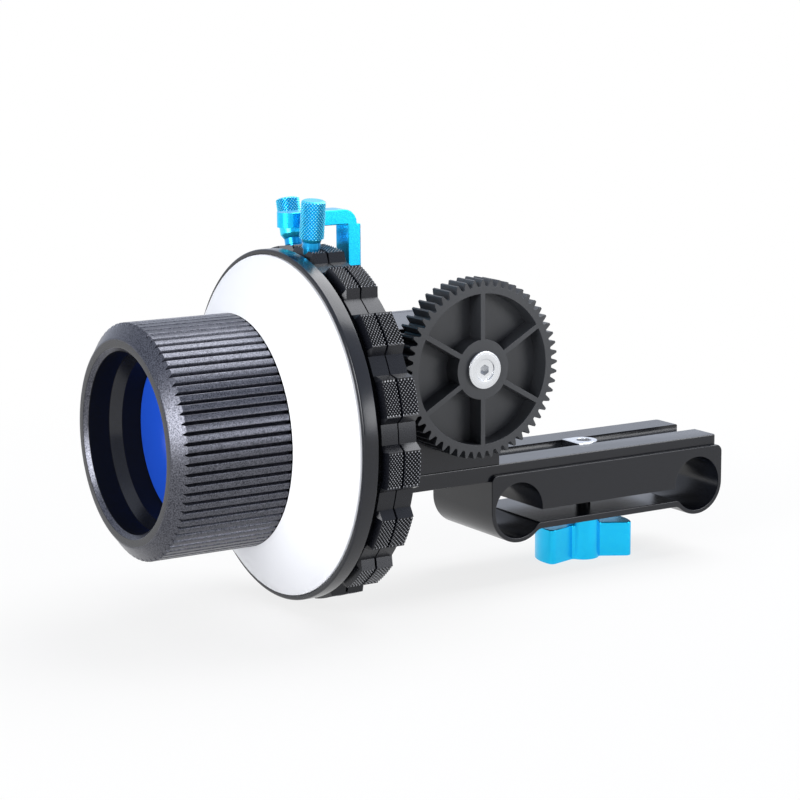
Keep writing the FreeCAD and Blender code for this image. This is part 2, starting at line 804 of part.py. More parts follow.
def transfer_gears():
    tip, root = spur_limits()
    teeth = int(float(size("spur_teeth")))
    face = float(size("spur_face"))
    half_pitch = FULL_TURN / teeth / 2
    for label, z, radius, first in (("idler_spur_gear", wheel_z, idler_radius, UPWARDS),
                                    ("output_spur_gear", gear_z, output_radius, UPWARDS + half_pitch)):
        shape = spur_gear(teeth, face, float(radius + seat_clear), first, tip, root)
        place = FreeCAD.Vector(float(gear_x), float(spur_front()), float(z))
        computed(label, shape, FreeCAD.Placement(place, to_y_axis()))


def idler_shaft():
    front = inner_front - bush_length + turn_gap
    back = cover_front + bush_length - turn_gap
    turned("idler_shaft", "Y", [(front, 0), (front, idler_radius), (back, idler_radius), (back, 0)],
           gear_x, 0, wheel_z)


def output_shaft():
    back = cover_front + bush_length - turn_gap
    hole = size("hub_screw_dia") / 2 + seat_clear
    hole_end = drive_front + size("gear_screw_reach") + turn_gap
    profile = [(output_front, hole), (hole_end, hole), (hole_end, 0), (back, 0),
               (back, output_radius), (output_front, output_radius)]
    turned("output_shaft", "Y", profile, gear_x, 0, gear_z)


# ---------------------------------------------------------------- drive gear

def drive_gear():
    teeth = int(float(size("drive_teeth")))
    pitch = float(module) * teeth / 2
    depth = float(drive_back - drive_front)
    root = pitch - DEDENDUM * float(module)
    hub = float(gear_head_radius + size("drive_hub_land"))
    rim = root - float(size("drive_rim_wall"))
    web = float(size("drive_web"))
    bore = float(output_radius + seat_clear)
    solid = spur_gear(teeth, depth, bore, 0.0, pitch + float(module), root)
    pocket_depth = depth - web
    well = Part.makeCylinder(rim, pocket_depth).cut(Part.makeCylinder(hub, pocket_depth))
    thick = float(size("drive_rib_thick"))
    ribs = int(float(size("drive_ribs")))
    for rib in range(ribs):
        bar = Part.makeBox(rim, thick, pocket_depth, FreeCAD.Vector(0, -thick / 2, 0))
        angle = float(size("drive_first_rib")) + FULL_TURN * rib / ribs
        bar.rotate(FreeCAD.Vector(0, 0, 0), FreeCAD.Vector(0, 0, 1), -angle)
        well = well.cut(bar)
    seat = float(output_front - drive_front)
    seat_hole = Part.makeCylinder(bore, seat)
    solid = solid.cut(well).cut(seat_hole)
    place = FreeCAD.Vector(float(gear_x), float(drive_front), float(gear_z))
    computed("drive_gear", solid, FreeCAD.Placement(place, to_y_axis()))


def gear_spacer():
    front = drive_back
    profile = ring_profile(front, bar_front - turn_gap, output_radius + seat_clear, size("spacer_dia") / 2)
    turned("gear_spacer", "Y", profile, gear_x, 0, gear_z)


def gear_screw():
    head_front = drive_front - size("gear_screw_head")
    dish_radius = gear_head_radius - size("gear_screw_rim")
    dish = head_front + size("gear_screw_dish")
    shank = size("hub_screw_dia") / 2
    end = drive_front + size("gear_screw_reach")
    body = new_body("gear_screw", gear_x, 0, gear_z)
    revolution(body, "Y", [(dish, 0), (dish, dish_radius), (head_front, dish_radius),
                           (head_front, gear_head_radius), (drive_front, gear_head_radius),
                           (drive_front, shank), (end, shank), (end, 0)])
    doc.recompute()
    reach = size("gear_screw_hex") / (2 * math.cos(math.pi / HEX_CORNERS))
    angles = [2 * math.pi * corner / HEX_CORNERS for corner in range(HEX_CORNERS)]
    corners = [(reach * math.cos(angle), reach * math.sin(angle)) for angle in angles]
    pocket(body, "Y", dish, dish + size("gear_screw_hex_depth"), outline(*corners))


# ---------------------------------------------------------------- hand wheel and hub

def wheel_screw_places():
    count = int(float(size("wheel_screws")))
    radius = size("wheel_screw_circle") / 2
    angles = [2 * math.pi * i / count for i in range(count)]
    return [(radius * math.cos(a), radius * math.sin(a)) for a in angles]


def hand_wheel():
    front = size("wheel_front")
    back = size("wheel_back")
    nose_back = front + size("nose_length")
    grip = grip_radius
    access = size("hub_screw_head_dia") / 2 + turn_gap
    body = new_body("hand_wheel", 0, wheel_y, wheel_z)
    revolution(body, "X", [
        (front, lip_radius), (front + size("lip_chamfer"), bore_radius),
        (size("step_start"), bore_radius), (size("step_end"), step_radius),
        (wheel_floor_front, step_radius), (wheel_floor_front, access), (wheel_floor_back, access),
        (wheel_floor_back, wheel_cavity_radius), (back, wheel_cavity_radius), (back, grip),
        (nose_back + size("grip_chamfer"), grip), (nose_back, nose_radius_back),
        (front, nose_radius_front)])
    doc.recompute()
    half_groove = math.pi * grip / size("grip_ribs") - size("rib_land") / 2
    deep = grip - size("rib_depth")
    proud = grip + size("rib_depth")
    groove = pocket(body, "X", nose_back, back,
                    outline((0, deep), (half_groove * 2, proud), (-half_groove * 2, proud)))
    polar(body, [groove], "X", size("grip_ribs"))
    places = wheel_screw_places()
    pocket(body, "X", wheel_floor_front, wheel_floor_back, *[disc(y, z, small_hole) for y, z in places])
    pocket(body, "X", wheel_floor_front, wheel_floor_front + small_head + turn_gap,
           *[disc(y, z, small_head_radius + seat_clear) for y, z in places])


def wheel_disc():
    front = size("disc_front")
    profile = [(front, 0), (front, disc_radius), (wheel_floor_front, disc_radius),
               (wheel_floor_front, 0)]
    turned("wheel_disc", "X", profile, 0, wheel_y, wheel_z)


def wheel_screws():
    length = float(size("wheel_floor") + size("wheel_screw_bite"))
    one = screw(float(small_head_radius), float(small_head), float(small_radius), length)
    face = wheel_floor_front + turn_gap
    solids = [placed(one, (-1, 0, 0), (face, wheel_y + y, wheel_z + z)) for y, z in wheel_screw_places()]
    computed("wheel_screws", Part.makeCompound(solids))


def marking_ring():
    thick = size("ring_thick")
    front = size("ring_front")
    back = size("ring_back")
    profile = [(front, grip_radius), (back, ring_radius), (back + thick, ring_radius),
               (front + thick, grip_radius)]
    turned("marking_ring", "X", profile, 0, wheel_y, wheel_z)


def wheel_hub():
    thick = size("ring_thick") + seat_clear
    nose = wheel_cavity_radius - seat_clear
    cone_front = size("ring_front") + thick
    cone_back = size("ring_back") + thick
    rim_back = size("rim_back")
    sleeve_back = size("sleeve_back")
    inside = sleeve_radius - size("sleeve_wall")
    boss = main_radius + size("hub_boss_wall")
    shaft_hole = main_radius + seat_clear
    head_hole = size("hub_screw_head_dia") / 2 + seat_clear
    screw_hole = size("hub_screw_dia") / 2 + seat_clear
    head_seat = hub_front + size("hub_screw_head") + turn_gap
    groove_front = size("stop_b_back") + turn_gap - seat_clear
    groove_back = groove_front + size("retainer_thick") + seat_clear * 2
    groove = sleeve_radius - size("retainer_bite")
    web_front = size("hub_web_front")
    body = new_body("wheel_hub", 0, wheel_y, wheel_z)
    revolution(body, "X", [
        (hub_front, head_hole), (head_seat, head_hole), (head_seat, screw_hole),
        (shaft_front, screw_hole), (shaft_front, shaft_hole), (size("hub_boss_back"), shaft_hole),
        (size("hub_boss_back"), boss), (web_front, boss), (web_front, nose),
        (rim_back - turn_gap, inside), (sleeve_back, inside), (sleeve_back, sleeve_radius),
        (groove_back, sleeve_radius), (groove_back, groove), (groove_front, groove),
        (groove_front, sleeve_radius), (rim_back, sleeve_radius), (rim_back, rim_radius),
        (size("rim_front"), rim_radius), (size("rim_front"), ring_seat_radius),
        (cone_back, ring_seat_radius), (cone_front, grip_radius), (cone_front, nose),
        (hub_front, nose)])
    doc.recompute()
    screw_end = wheel_floor_front + small_head + size("wheel_floor") + size("wheel_screw_bite")
    pocket(body, "X", hub_front, screw_end + turn_gap * 2,
           *[disc(y, z, small_hole) for y, z in wheel_screw_places()])


def hub_screw():
    head = size("hub_screw_head")
    head_radius = size("hub_screw_head_dia") / 2
    radius = size("hub_screw_dia") / 2
    front = hub_front + turn_gap
    seat = front + head
    end = shaft_front + size("hub_screw_length")
    turned("hub_screw", "X", [(front, 0), (front, head_radius), (seat, head_radius), (seat, radius),
                              (end, radius), (end, 0)], 0, wheel_y, wheel_z)


def friction_washer():
    start = size("rim_back")
    profile = ring_profile(start, start + size("washer_thick"), sleeve_radius + seat_clear,
                           sleeve_radius + size("washer_width"))
    turned("friction_washer", "X", profile, 0, wheel_y, wheel_z)


def ring_retainer():
    front = size("stop_b_back") + turn_gap
    inner = sleeve_radius - size("retainer_bite") + seat_clear
    profile = ring_profile(front, front + size("retainer_thick"), inner,
                           sleeve_radius + size("retainer_width"))
    turned("ring_retainer", "X", profile, 0, wheel_y, wheel_z)


def main_shaft():
    hole = size("hub_screw_dia") / 2 + seat_clear
    hole_end = shaft_front + size("hub_screw_length") + turn_gap
    shoulder = gear_x - bevel_radius - size("bevel_hub_length") - seat_clear
    end = gear_x - bevel_radius + size("bevel_face") - turn_gap
    start = shaft_front + seat_clear
    turned("main_shaft", "X", [
        (start, hole), (hole_end, hole), (hole_end, 0), (end, 0), (end, nose_radius),
        (shoulder, nose_radius), (shoulder, main_radius), (start, main_radius)], 0, wheel_y, wheel_z)


def shaft_collar():
    front = box_left + size("bearing_wall") + turn_gap
    profile = ring_profile(front, front + bush_wall, main_radius + seat_clear, main_radius + bush_wall)
    turned("shaft_collar", "X", profile, 0, wheel_y, wheel_z)


# ---------------------------------------------------------------- stop rings and their screws

def arc_point(radius, degrees):
    angle = math.radians(degrees)
    return FreeCAD.Vector(0, radius * math.sin(angle), radius * math.cos(angle))


def stop_ring(label, front, back, screw_angle, chamfer):
    """Ring with round-topped pads, its front edges chamfered, drilled for its screw."""
    count = int(float(size("pad_count")))
    half = float(size("pad_angle")) / 2
    ramp = float(size("ramp_angle"))
    phase = float(size("pad_phase"))
    low = float(stop_radius)
    high = float(pad_radius)
    step = FULL_TURN / count
    edges = []
    for index in range(count):
        middle = screw_angle + phase + step * index
        edges.append(Part.Arc(arc_point(high, middle - half), arc_point(high, middle),
                              arc_point(high, middle + half)).toShape())
        edges.append(Part.makeLine(arc_point(high, middle + half), arc_point(low, middle + half + ramp)))
        after = middle + step - half - ramp
        between = (middle + half + ramp + after) / 2
        edges.append(Part.Arc(arc_point(low, middle + half + ramp), arc_point(low, between),
                              arc_point(low, after)).toShape())
        edges.append(Part.makeLine(arc_point(low, after), arc_point(high, after + ramp)))
    width = float(back - front)
    ring = Part.Face(Part.Wire(edges)).extrude(FreeCAD.Vector(width, 0, 0))
    ahead = FreeCAD.Vector(1, 0, 0)
    bore = Part.makeCylinder(float(sleeve_radius + run_clear), width, FreeCAD.Vector(0, 0, 0), ahead)
    rise = high - low
    bevel = Part.makeCone(low, low + rise * 2, chamfer * 2, FreeCAD.Vector(0, 0, 0), ahead)
    collar = Part.makeCylinder(low + rise * 2, chamfer * 2, FreeCAD.Vector(0, 0, 0), ahead)
    ring = ring.cut(bore).cut(collar.cut(bevel))
    radius = float(size("stop_screw_dia")) / 2 + float(run_clear)
    middle = FreeCAD.Vector(width / 2, 0, 0)
    hole = Part.makeCylinder(radius, high, middle, arc_point(1.0, screw_angle))
    place = FreeCAD.Vector(float(front), float(wheel_y), float(wheel_z))
    computed(label, ring.cut(hole), FreeCAD.Placement(place, FreeCAD.Rotation()))


def stop_screw(label, front, back, screw_angle):
    """Thumbscrew that stands out along a radius of its ring."""
    head = size("stop_head_dia") / 2
    neck = size("stop_neck_dia") / 2
    shank = size("stop_screw_dia") / 2
    tip = sleeve_radius + turn_gap + seat_clear * 2
    chamfer = size("stop_head_chamfer")
    body = turned(label, "Z", [
        (tip, 0), (tip, shank), (stop_neck_bottom, shank), (stop_neck_bottom, neck),
        (stop_head_bottom, head), (stop_head_top - chamfer, head),
        (stop_head_top, head - chamfer), (stop_head_top, 0)],
        (front + back) / 2, wheel_y, wheel_z)
    body.Placement.Rotation = FreeCAD.Rotation(FreeCAD.Vector(1, 0, 0), -screw_angle)


def stop_rings():
    for name in ("a", "b"):
        front = size("stop_%s_front" % name)
        back = size("stop_%s_back" % name)
        angle = float(size("stop_%s_angle" % name))
        chamfer = float(size("stop_%s_chamfer" % name))
        stop_ring("stop_ring_" + name, front, back, angle, chamfer)
        stop_screw("stop_screw_" + name, front, back, angle)


def stop_bracket():
    body = new_body("stop_bracket")
    half = size("bracket_width") / 2
    near = wheel_y - half
    far = wheel_y + half
    top = bracket_bottom + size("bracket_thick")
    round_centre = size("bracket_tip") + half
    leg_front = box_left - size("bracket_leg")
    bend_back = box_left - size("bracket_ledge")
    pad(body, "Y", near, far, oblong(round_centre, bracket_bottom, bend_back, top))
    pad(body, "Y", near, far, oblong(leg_front, bracket_foot, box_left, bracket_bottom))
    pad(body, "Z", bracket_bottom, top, disc(round_centre, wheel_y, half))
    pocket(body, "X", leg_front, box_left,
           *[disc(wheel_y, z, small_hole) for z in bracket_screw_heights])
    round_edges(body, "Y", [(bend_back, top)], size("bracket_thick") - seat_clear * 2)


def bracket_screws():
    length = float(size("bracket_leg") + size("bearing_wall") - turn_gap)
    one = screw(float(small_head_radius), float(small_head), float(small_radius), length)
    front = box_left - size("bracket_leg") - small_head
    solids = [placed(one, (-1, 0, 0), (front, wheel_y, z)) for z in bracket_screw_heights]
    computed("bracket_screws", Part.makeCompound(solids))


def build():
    for make in (rod_clamp, slide_bar, bar_screws, t_nut, wing_knob, clamp_stud, clamp_washer,
                 gearbox_housing, gearbox_cover, cover_screws, main_bearings, shaft_bushes,
                 input_bevel_gear, idler_bevel_gear, transfer_gears, idler_shaft, output_shaft,
                 drive_gear, gear_spacer, gear_screw, hand_wheel, wheel_disc, wheel_screws,
                 marking_ring, wheel_hub, hub_screw, friction_washer, ring_retainer, main_shaft,
                 shaft_collar, stop_rings, stop_bracket, bracket_screws):
        make()
    doc.recompute()


def sub_parts():
    kinds = ("PartDesign::Body", "Part::Feature")
    return [item for item in doc.Objects if item.TypeId in kinds]


def check():
    for item in doc.Objects:
        if "Invalid" in item.State or "Error" in item.State:
            raise ValueError("%s did not build" % item.Label)
    for item in sub_parts():
        if item.Shape.isNull() or not item.Shape.isValid():
            raise ValueError("%s has no sound shape" % item.Label)


def export():
    os.makedirs("parts", exist_ok=True)
    for item in sub_parts():
        item.Shape.exportStep("parts/%s.step" % item.Label)


build()
check()
export()
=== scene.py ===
import math
import bmesh
import bpy
from mathutils import Matrix, Vector


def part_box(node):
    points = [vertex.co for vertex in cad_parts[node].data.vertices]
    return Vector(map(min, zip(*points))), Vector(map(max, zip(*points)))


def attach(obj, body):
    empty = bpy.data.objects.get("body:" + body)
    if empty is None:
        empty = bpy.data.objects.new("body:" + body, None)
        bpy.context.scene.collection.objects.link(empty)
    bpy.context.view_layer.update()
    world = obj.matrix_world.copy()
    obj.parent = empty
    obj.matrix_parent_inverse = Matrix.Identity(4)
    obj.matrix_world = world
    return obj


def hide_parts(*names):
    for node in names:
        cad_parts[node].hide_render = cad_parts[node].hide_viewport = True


# Looks of a follow focus unit: turned and milled aluminium, a moulded gear, a white marking ring.
# Sizes are millimetres. A mesh is scaled to metres when it becomes an object.

MM = 0.001
TURN = 2 * math.pi
SHARP = math.radians(35)        # an edge that turns more than this keeps its crease
KNURL_SHARP = math.radians(12)
FLAT = math.radians(0.2)        # faces that turn less than this make one flat
WELD = 0.0005
ARC_PIECES = 5                  # of a rounded corner

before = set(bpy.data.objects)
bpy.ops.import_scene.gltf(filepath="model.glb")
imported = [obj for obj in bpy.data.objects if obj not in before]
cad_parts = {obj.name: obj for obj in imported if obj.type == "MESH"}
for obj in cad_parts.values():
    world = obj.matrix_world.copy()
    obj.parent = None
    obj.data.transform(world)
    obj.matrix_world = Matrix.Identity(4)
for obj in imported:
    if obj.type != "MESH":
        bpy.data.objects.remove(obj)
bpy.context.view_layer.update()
scene = bpy.context.scene


def span(node):
    """Lowest and highest corner of a CAD node, in millimetres."""
    low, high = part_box(node)
    return low / MM, high / MM


wheel_low, wheel_high = span("hand_wheel")
AXIS_Y = (wheel_low.y + wheel_high.y) / 2
AXIS_Z = (wheel_low.z + wheel_high.z) / 2
gear_low, gear_high = span("drive_gear")
GEAR_X = (gear_low.x + gear_high.x) / 2
GEAR_Z = (gear_low.z + gear_high.z) / 2
knob_low, knob_high = span("wing_knob")
KNOB_X = (knob_low.x + knob_high.x) / 2
KNOB_Y = (knob_low.y + knob_high.y) / 2
clamp_low, clamp_high = span("rod_clamp")


# ---------------------------------------------------------------- materials

def linear(code):
    """sRGB hex code as a linear colour."""
    parts = [int(code[i:i + 2], 16) / 255 for i in (1, 3, 5)]
    return [c / 12.92 if c <= 0.04045 else ((c + 0.055) / 1.055) ** 2.4 for c in parts] + [1]


def add(tree, kind, inputs=None, **settings):
    """Adds a node; an input takes a plain value or another node's output."""
    node = tree.nodes.new("ShaderNode" + kind)
    for name, value in settings.items():
        setattr(node, name, value)
    for name, value in (inputs or {}).items():
        if isinstance(value, bpy.types.NodeSocket):
            tree.links.new(value, node.inputs[name])
        else:
            node.inputs[name].default_value = value
    return node


def new_material(name):
    material = bpy.data.materials.new(name)
    material.use_nodes = True
    return material, material.node_tree, material.node_tree.nodes["Principled BSDF"]


def blasted_metal(name, colour, pale, metallic, roughness, grain, depth):
    """Blasted or milled metal, plain or dyed: an even satin with a fine grain."""
    material, tree, shader = new_material(name)
    place = add(tree, "TexCoord").outputs["Object"]
    specks = add(tree, "TexNoise", {"Vector": place, "Scale": 1 / (grain * MM), "Detail": 3.0})
    clouds = add(tree, "TexNoise", {"Vector": place, "Scale": 1 / (9 * MM), "Detail": 2.0})
    mix = add(tree, "MapRange", {"Value": specks.outputs["Fac"], "From Min": 0.35,
                                 "From Max": 0.65})
    tint = add(tree, "Mix", {"Factor": mix.outputs[0]}, data_type="RGBA")
    tint.inputs[6].default_value = linear(colour)
    tint.inputs[7].default_value = linear(pale)
    sheen = add(tree, "MapRange", {"Value": clouds.outputs["Fac"], "To Min": roughness * 0.9,
                                   "To Max": roughness * 1.12})
    bump = add(tree, "Bump", {"Height": specks.outputs["Fac"], "Strength": 1.0,
                              "Distance": depth * MM})
    tree.links.new(tint.outputs[2], shader.inputs["Base Color"])
    tree.links.new(sheen.outputs[0], shader.inputs["Roughness"])
    tree.links.new(bump.outputs[0], shader.inputs["Normal"])
    shader.inputs["Metallic"].default_value = metallic
    return material


def knurled_aluminium(name, plain, crest, groove, metallic, roughness):
    """Rolled with a diamond knurl and dyed, with a painted highlight on the crests and painted
    shade in the grooves.
    """
    material, tree, shader = new_material(name)
    place = add(tree, "TexCoord").outputs["Object"]
    knurl = add(tree, "Attribute", attribute_name="knurl").outputs["Fac"]
    specks = add(tree, "TexNoise", {"Vector": place, "Scale": 1 / (0.3 * MM), "Detail": 2.0})
    # The knurl level mixes in a painted highlight towards 1 and painted shade towards -1.
    crest_highlight = add(tree, "MapRange", {"Value": knurl, "From Min": 0.0, "From Max": 1.0})
    groove_shade = add(tree, "MapRange", {"Value": knurl, "From Min": 0.0, "From Max": -1.0})
    raised = add(tree, "Mix", {"Factor": crest_highlight.outputs[0]}, data_type="RGBA")
    raised.inputs[6].default_value = linear(plain)
    raised.inputs[7].default_value = linear(crest)
    tint = add(tree, "Mix", {"Factor": groove_shade.outputs[0]}, data_type="RGBA")
    tree.links.new(raised.outputs[2], tint.inputs[6])
    tint.inputs[7].default_value = linear(groove)
    sheen = add(tree, "MapRange", {"Value": specks.outputs["Fac"], "To Min": roughness * 0.85,
                                   "To Max": roughness * 1.15})
    tree.links.new(tint.outputs[2], shader.inputs["Base Color"])
    tree.links.new(sheen.outputs[0], shader.inputs["Roughness"])
    shader.inputs["Metallic"].default_value = metallic
    return material


def lathe_finish(name, colour, metallic, roughness, spacing, depth, axis, centre):
    """Turned on a lathe: fine rings about the axis that draw a highlight out across them."""
    material, tree, shader = new_material(name)
    place = add(tree, "TexCoord").outputs["Object"]
    shifted = add(tree, "VectorMath", {0: place, 1: [c * MM for c in centre]}, operation="SUBTRACT")
    flat = add(tree, "VectorMath", {0: shifted.outputs[0], 1: axis}, operation="MULTIPLY")
    radius = add(tree, "VectorMath", {0: flat.outputs[0]}, operation="LENGTH")
    rings = add(tree, "TexNoise", {"W": radius.outputs["Value"], "Scale": 1 / (spacing * MM),
                                   "Detail": 1.0}, noise_dimensions="1D")
    sheen = add(tree, "MapRange", {"Value": rings.outputs["Fac"], "To Min": roughness * 0.8,
                                   "To Max": roughness * 1.25})
    bump = add(tree, "Bump", {"Height": rings.outputs["Fac"], "Strength": 1.0,
                              "Distance": depth * MM})
    shader.inputs["Base Color"].default_value = linear(colour)
    tree.links.new(sheen.outputs[0], shader.inputs["Roughness"])
    tree.links.new(bump.outputs[0], shader.inputs["Normal"])
    shader.inputs["Metallic"].default_value = metallic
    return material


def moulded_plastic(name, colour, roughness, ior, grain, depth):
    """Injection moulded against a lightly textured tool: a soft sheen with a faint orange peel."""
    material, tree, shader = new_material(name)
    place = add(tree, "TexCoord").outputs["Object"]
    peel = add(tree, "TexNoise", {"Vector": place, "Scale": 1 / (grain * MM), "Detail": 2.0})
    sheen = add(tree, "MapRange", {"Value": peel.outputs["Fac"], "To Min": roughness * 0.9,
                                   "To Max": roughness * 1.1})
    bump = add(tree, "Bump", {"Height": peel.outputs["Fac"], "Strength": 1.0,
                              "Distance": depth * MM})
    shader.inputs["Base Color"].default_value = linear(colour)
    shader.inputs["IOR"].default_value = ior
    tree.links.new(sheen.outputs[0], shader.inputs["Roughness"])
    tree.links.new(bump.outputs[0], shader.inputs["Normal"])
    return material


WHEEL_RINGS = {"axis": (0, 1, 1), "centre": (0, AXIS_Y, AXIS_Z)}
GEAR_RINGS = {"axis": (1, 0, 1), "centre": (GEAR_X, 0, GEAR_Z)}

# Anodised aluminium, dyed black: the dye swallows the metal's colour and leaves a satin skin.
BLACK_ANODISED = blasted_metal("aluminium_black_anodised", "#0a0c13", "#12151e",
                               metallic=0.1, roughness=0.22, grain=0.3, depth=0.008)
# The grip is blasted more coarsely and dyed more thinly, so the metal shows as a dark grey.
GRIP_ANODISED = blasted_metal("aluminium_grip_anodised", "#393a40", "#66676f",
                              metallic=1.0, roughness=0.32, grain=0.32, depth=0.018)
# The bore is turned and dyed but not blasted: near black, with a dull lathe finish.
BORE_ANODISED = lathe_finish("aluminium_bore_turned", "#07080a", metallic=0.0, roughness=0.5,
                             spacing=0.25, depth=0.002, **WHEEL_RINGS)
BORE_ANODISED.node_tree.nodes["Principled BSDF"].inputs["Specular IOR Level"].default_value = 0.2
# Anodised aluminium, dyed bright blue: the metal shines through, so its sheen is blue too.
BLUE_ANODISED = blasted_metal("aluminium_blue_anodised", "#10c2ff", "#22d2ff",
                              metallic=0.8, roughness=0.24, grain=0.3, depth=0.004)
# The knurled pads and heads: the crest colour is a painted highlight, and the groove colour is
# painted shade.
BLACK_KNURLED = knurled_aluminium("aluminium_black_knurled", "#11131a", crest="#d4d6dc",
                                  groove="#020203", metallic=0.3, roughness=0.28)
BLUE_KNURLED = knurled_aluminium("aluminium_blue_knurled", "#34dcff", crest="#d8feff",
                                 groove="#14a0e0", metallic=0.7, roughness=0.24)
# Moulded ABS, satin white.
WHITE_ABS = moulded_plastic("abs_white_moulded", "#eeeff3", roughness=0.4, ior=1.54,
                            grain=0.6, depth=0.002)
# Glass-filled nylon, moulded: grey black with a dull skin.
BLACK_NYLON = moulded_plastic("nylon_black_moulded", "#303236", roughness=0.42, ior=1.53,
                              grain=0.5, depth=0.006)
# Acrylic, dyed deep blue and polished on a lathe: glossy, with faint rings in its highlight.
BLUE_DISC = lathe_finish("acrylic_blue_polished", "#1c4cc0", metallic=0.0, roughness=0.14,
                         spacing=0.8, depth=0.006, **WHEEL_RINGS)
# Stainless steel, turned and lightly polished.
TURNED_STEEL = lathe_finish("steel_turned", "#d4d6d9", metallic=1.0, roughness=0.24,
                            spacing=0.3, depth=0.002, **GEAR_RINGS)
# Plain bright steel of the washer, shafts, bearings and inner gears.
BRIGHT_STEEL = blasted_metal("steel_milled", "#c6c8cc", "#d6d8db",
                             metallic=1.0, roughness=0.3, grain=0.4, depth=0.003)
# Nickel plated nut: paler and brighter than plain steel.
NICKEL = blasted_metal("steel_nickel_plated", "#e6e8ec", "#f2f3f5",
                       metallic=1.0, roughness=0.2, grain=0.4, depth=0.003)
# Steel screws with a black oxide skin, a little oily.
BLACK_OXIDE = blasted_metal("steel_black_oxide", "#151516", "#1c1c1e",
                            metallic=0.6, roughness=0.35, grain=0.3, depth=0.004)
# Sintered bronze of the bushes, open grained.
BRONZE = blasted_metal("bronze_sintered", "#8a6a3c", "#a07c48",
                       metallic=1.0, roughness=0.45, grain=0.2, depth=0.01)


# ---------------------------------------------------------------- meshes

def to_axis(axis):
    """Turns a local frame so that its Z runs along an axis of the unit."""
    if axis == "X":
        return Matrix(((0, 0, 1, 0), (1, 0, 0, 0), (0, 1, 0, 0), (0, 0, 0, 1)))
    if axis == "Y":
        return Matrix(((1, 0, 0, 0), (0, 0, -1, 0), (0, 1, 0, 0), (0, 0, 0, 1)))
    return Matrix.Identity(4)


def to_object(name, mesh, materials):
    """Object from a bmesh in millimetres, with smooth shading up to its sharp edges."""
    bmesh.ops.remove_doubles(mesh, verts=mesh.verts, dist=WELD)
    bmesh.ops.recalc_face_normals(mesh, faces=mesh.faces)
    bmesh.ops.scale(mesh, vec=(MM, MM, MM), verts=mesh.verts)
    data = bpy.data.meshes.new(name)
    mesh.to_mesh(data)
    mesh.free()
    for material in materials:
        data.materials.append(material)
    item = bpy.data.objects.new(name, data)
    scene.collection.objects.link(item)
    shade(item)
    return item


def shade(item):
    item.data.shade_smooth()
    item.data.set_sharp_from_angle(angle=SHARP)


def settle(item):
    """Writes an object's modifiers into its mesh."""
    view = bpy.context.evaluated_depsgraph_get()
    data = bpy.data.meshes.new_from_object(item.evaluated_get(view))
    old = item.data
    item.modifiers.clear()
    item.data = data
    bpy.data.meshes.remove(old)
    data.name = item.name


def combine(item, tool, operation="DIFFERENCE"):
    change = item.modifiers.new("combine", "BOOLEAN")
    change.operation = operation
    change.solver = "EXACT"
    change.object = tool
    settle(item)
    bpy.data.objects.remove(tool)
    shade(item)
    flatten(item)


def flatten(item):
    """Keeps flat faces flat beside their broken edges."""
    weighted = item.modifiers.new("weighted", "WEIGHTED_NORMAL")
    weighted.keep_sharp = True
    settle(item)


def arc(centre, radius, start, end, pieces=24):
    """Points of an arc between two angles in degrees."""
    points = []
    for i in range(pieces + 1):
        angle = math.radians(start + (end - start) * i / pieces)
        points.append((centre[0] + radius * math.cos(angle), centre[1] + radius * math.sin(angle)))
    return points


def circle(centre, radius, pieces=48):
    return arc(centre, radius, 0, 360, pieces)[:-1]


def rounded(corners):
    """Closed outline whose corners (u, v, radius) become arcs."""
    path = []
    for i, (u, v, radius) in enumerate(corners):
        corner = Vector((u, v))
        if not radius:
            path.append((u, v))
            continue
        before = (Vector(corners[i - 1][:2]) - corner).normalized()
        after = (Vector(corners[(i + 1) % len(corners)][:2]) - corner).normalized()
        half = before.angle(after) / 2
        centre = corner + (before + after).normalized() * (radius / math.sin(half))
        start = corner + before * (radius / math.tan(half)) - centre
        end = corner + after * (radius / math.tan(half)) - centre
        for step in range(ARC_PIECES + 1):
            way = start.lerp(end, step / ARC_PIECES).normalized() * radius
            path.append(tuple(centre + way))
    return path


def lathe(name, profile_at, materials, axis="X", centre=(0, 0, 0), angles=128, closed=True,
          knurled=range(0), finish=None, place=None):
    """Turns a profile of (along, radius) points about an axis.

    profile_at gives the profile of a numbered column, knurled names the rows that are split
    along the knurl's grooves and keep crisp facets, and finish gives the material of a row.
    A point may have a third number, its place in the knurl: 1 on a crest, -1 in a groove; the
    knurled materials paint a highlight at 1 and shade at -1.
    """
    if isinstance(angles, int):
        angles = [TURN * i / angles for i in range(angles)]
    matrix = place or Matrix.Translation(centre) @ to_axis(axis)
    mesh = bmesh.new()
    layer = mesh.verts.layers.float.new("knurl")
    columns = []
    for number, angle in enumerate(angles):
        column = []
        for along, radius, *level in profile_at(number):
            point = Vector((radius * math.sin(angle), radius * math.cos(angle), along))
            vertex = mesh.verts.new(matrix @ point)
            vertex[layer] = level[0] if level else 0.0
            column.append(vertex)
        columns.append(column)
    count = len(columns[0])
    for i, column in enumerate(columns):
        after = columns[(i + 1) % len(columns)]
        for j in range(count if closed else count - 1):
            k = (j + 1) % count
            corners = [column[j], after[j], after[k], column[k]]
            if j in knurled:
                if (i + j) % 2:
                    corners = corners[1:] + corners[:1]
                faces = [mesh.faces.new(corners[:3]), mesh.faces.new([corners[0]] + corners[2:])]
            else:
                faces = [mesh.faces.new(corners)]
            for face in faces:
                face.material_index = finish(j) if finish else 0
    piece = to_object(name, mesh, materials)
    if knurled:
        piece.data.set_sharp_from_angle(angle=KNURL_SHARP)
    return piece


def turned(name, profile, material, axis="X", centre=(0, 0, 0), angles=96, place=None):
    """Plain turned piece with a closed profile."""
    return lathe(name, lambda number: profile, [material], axis, centre, angles, place=place)


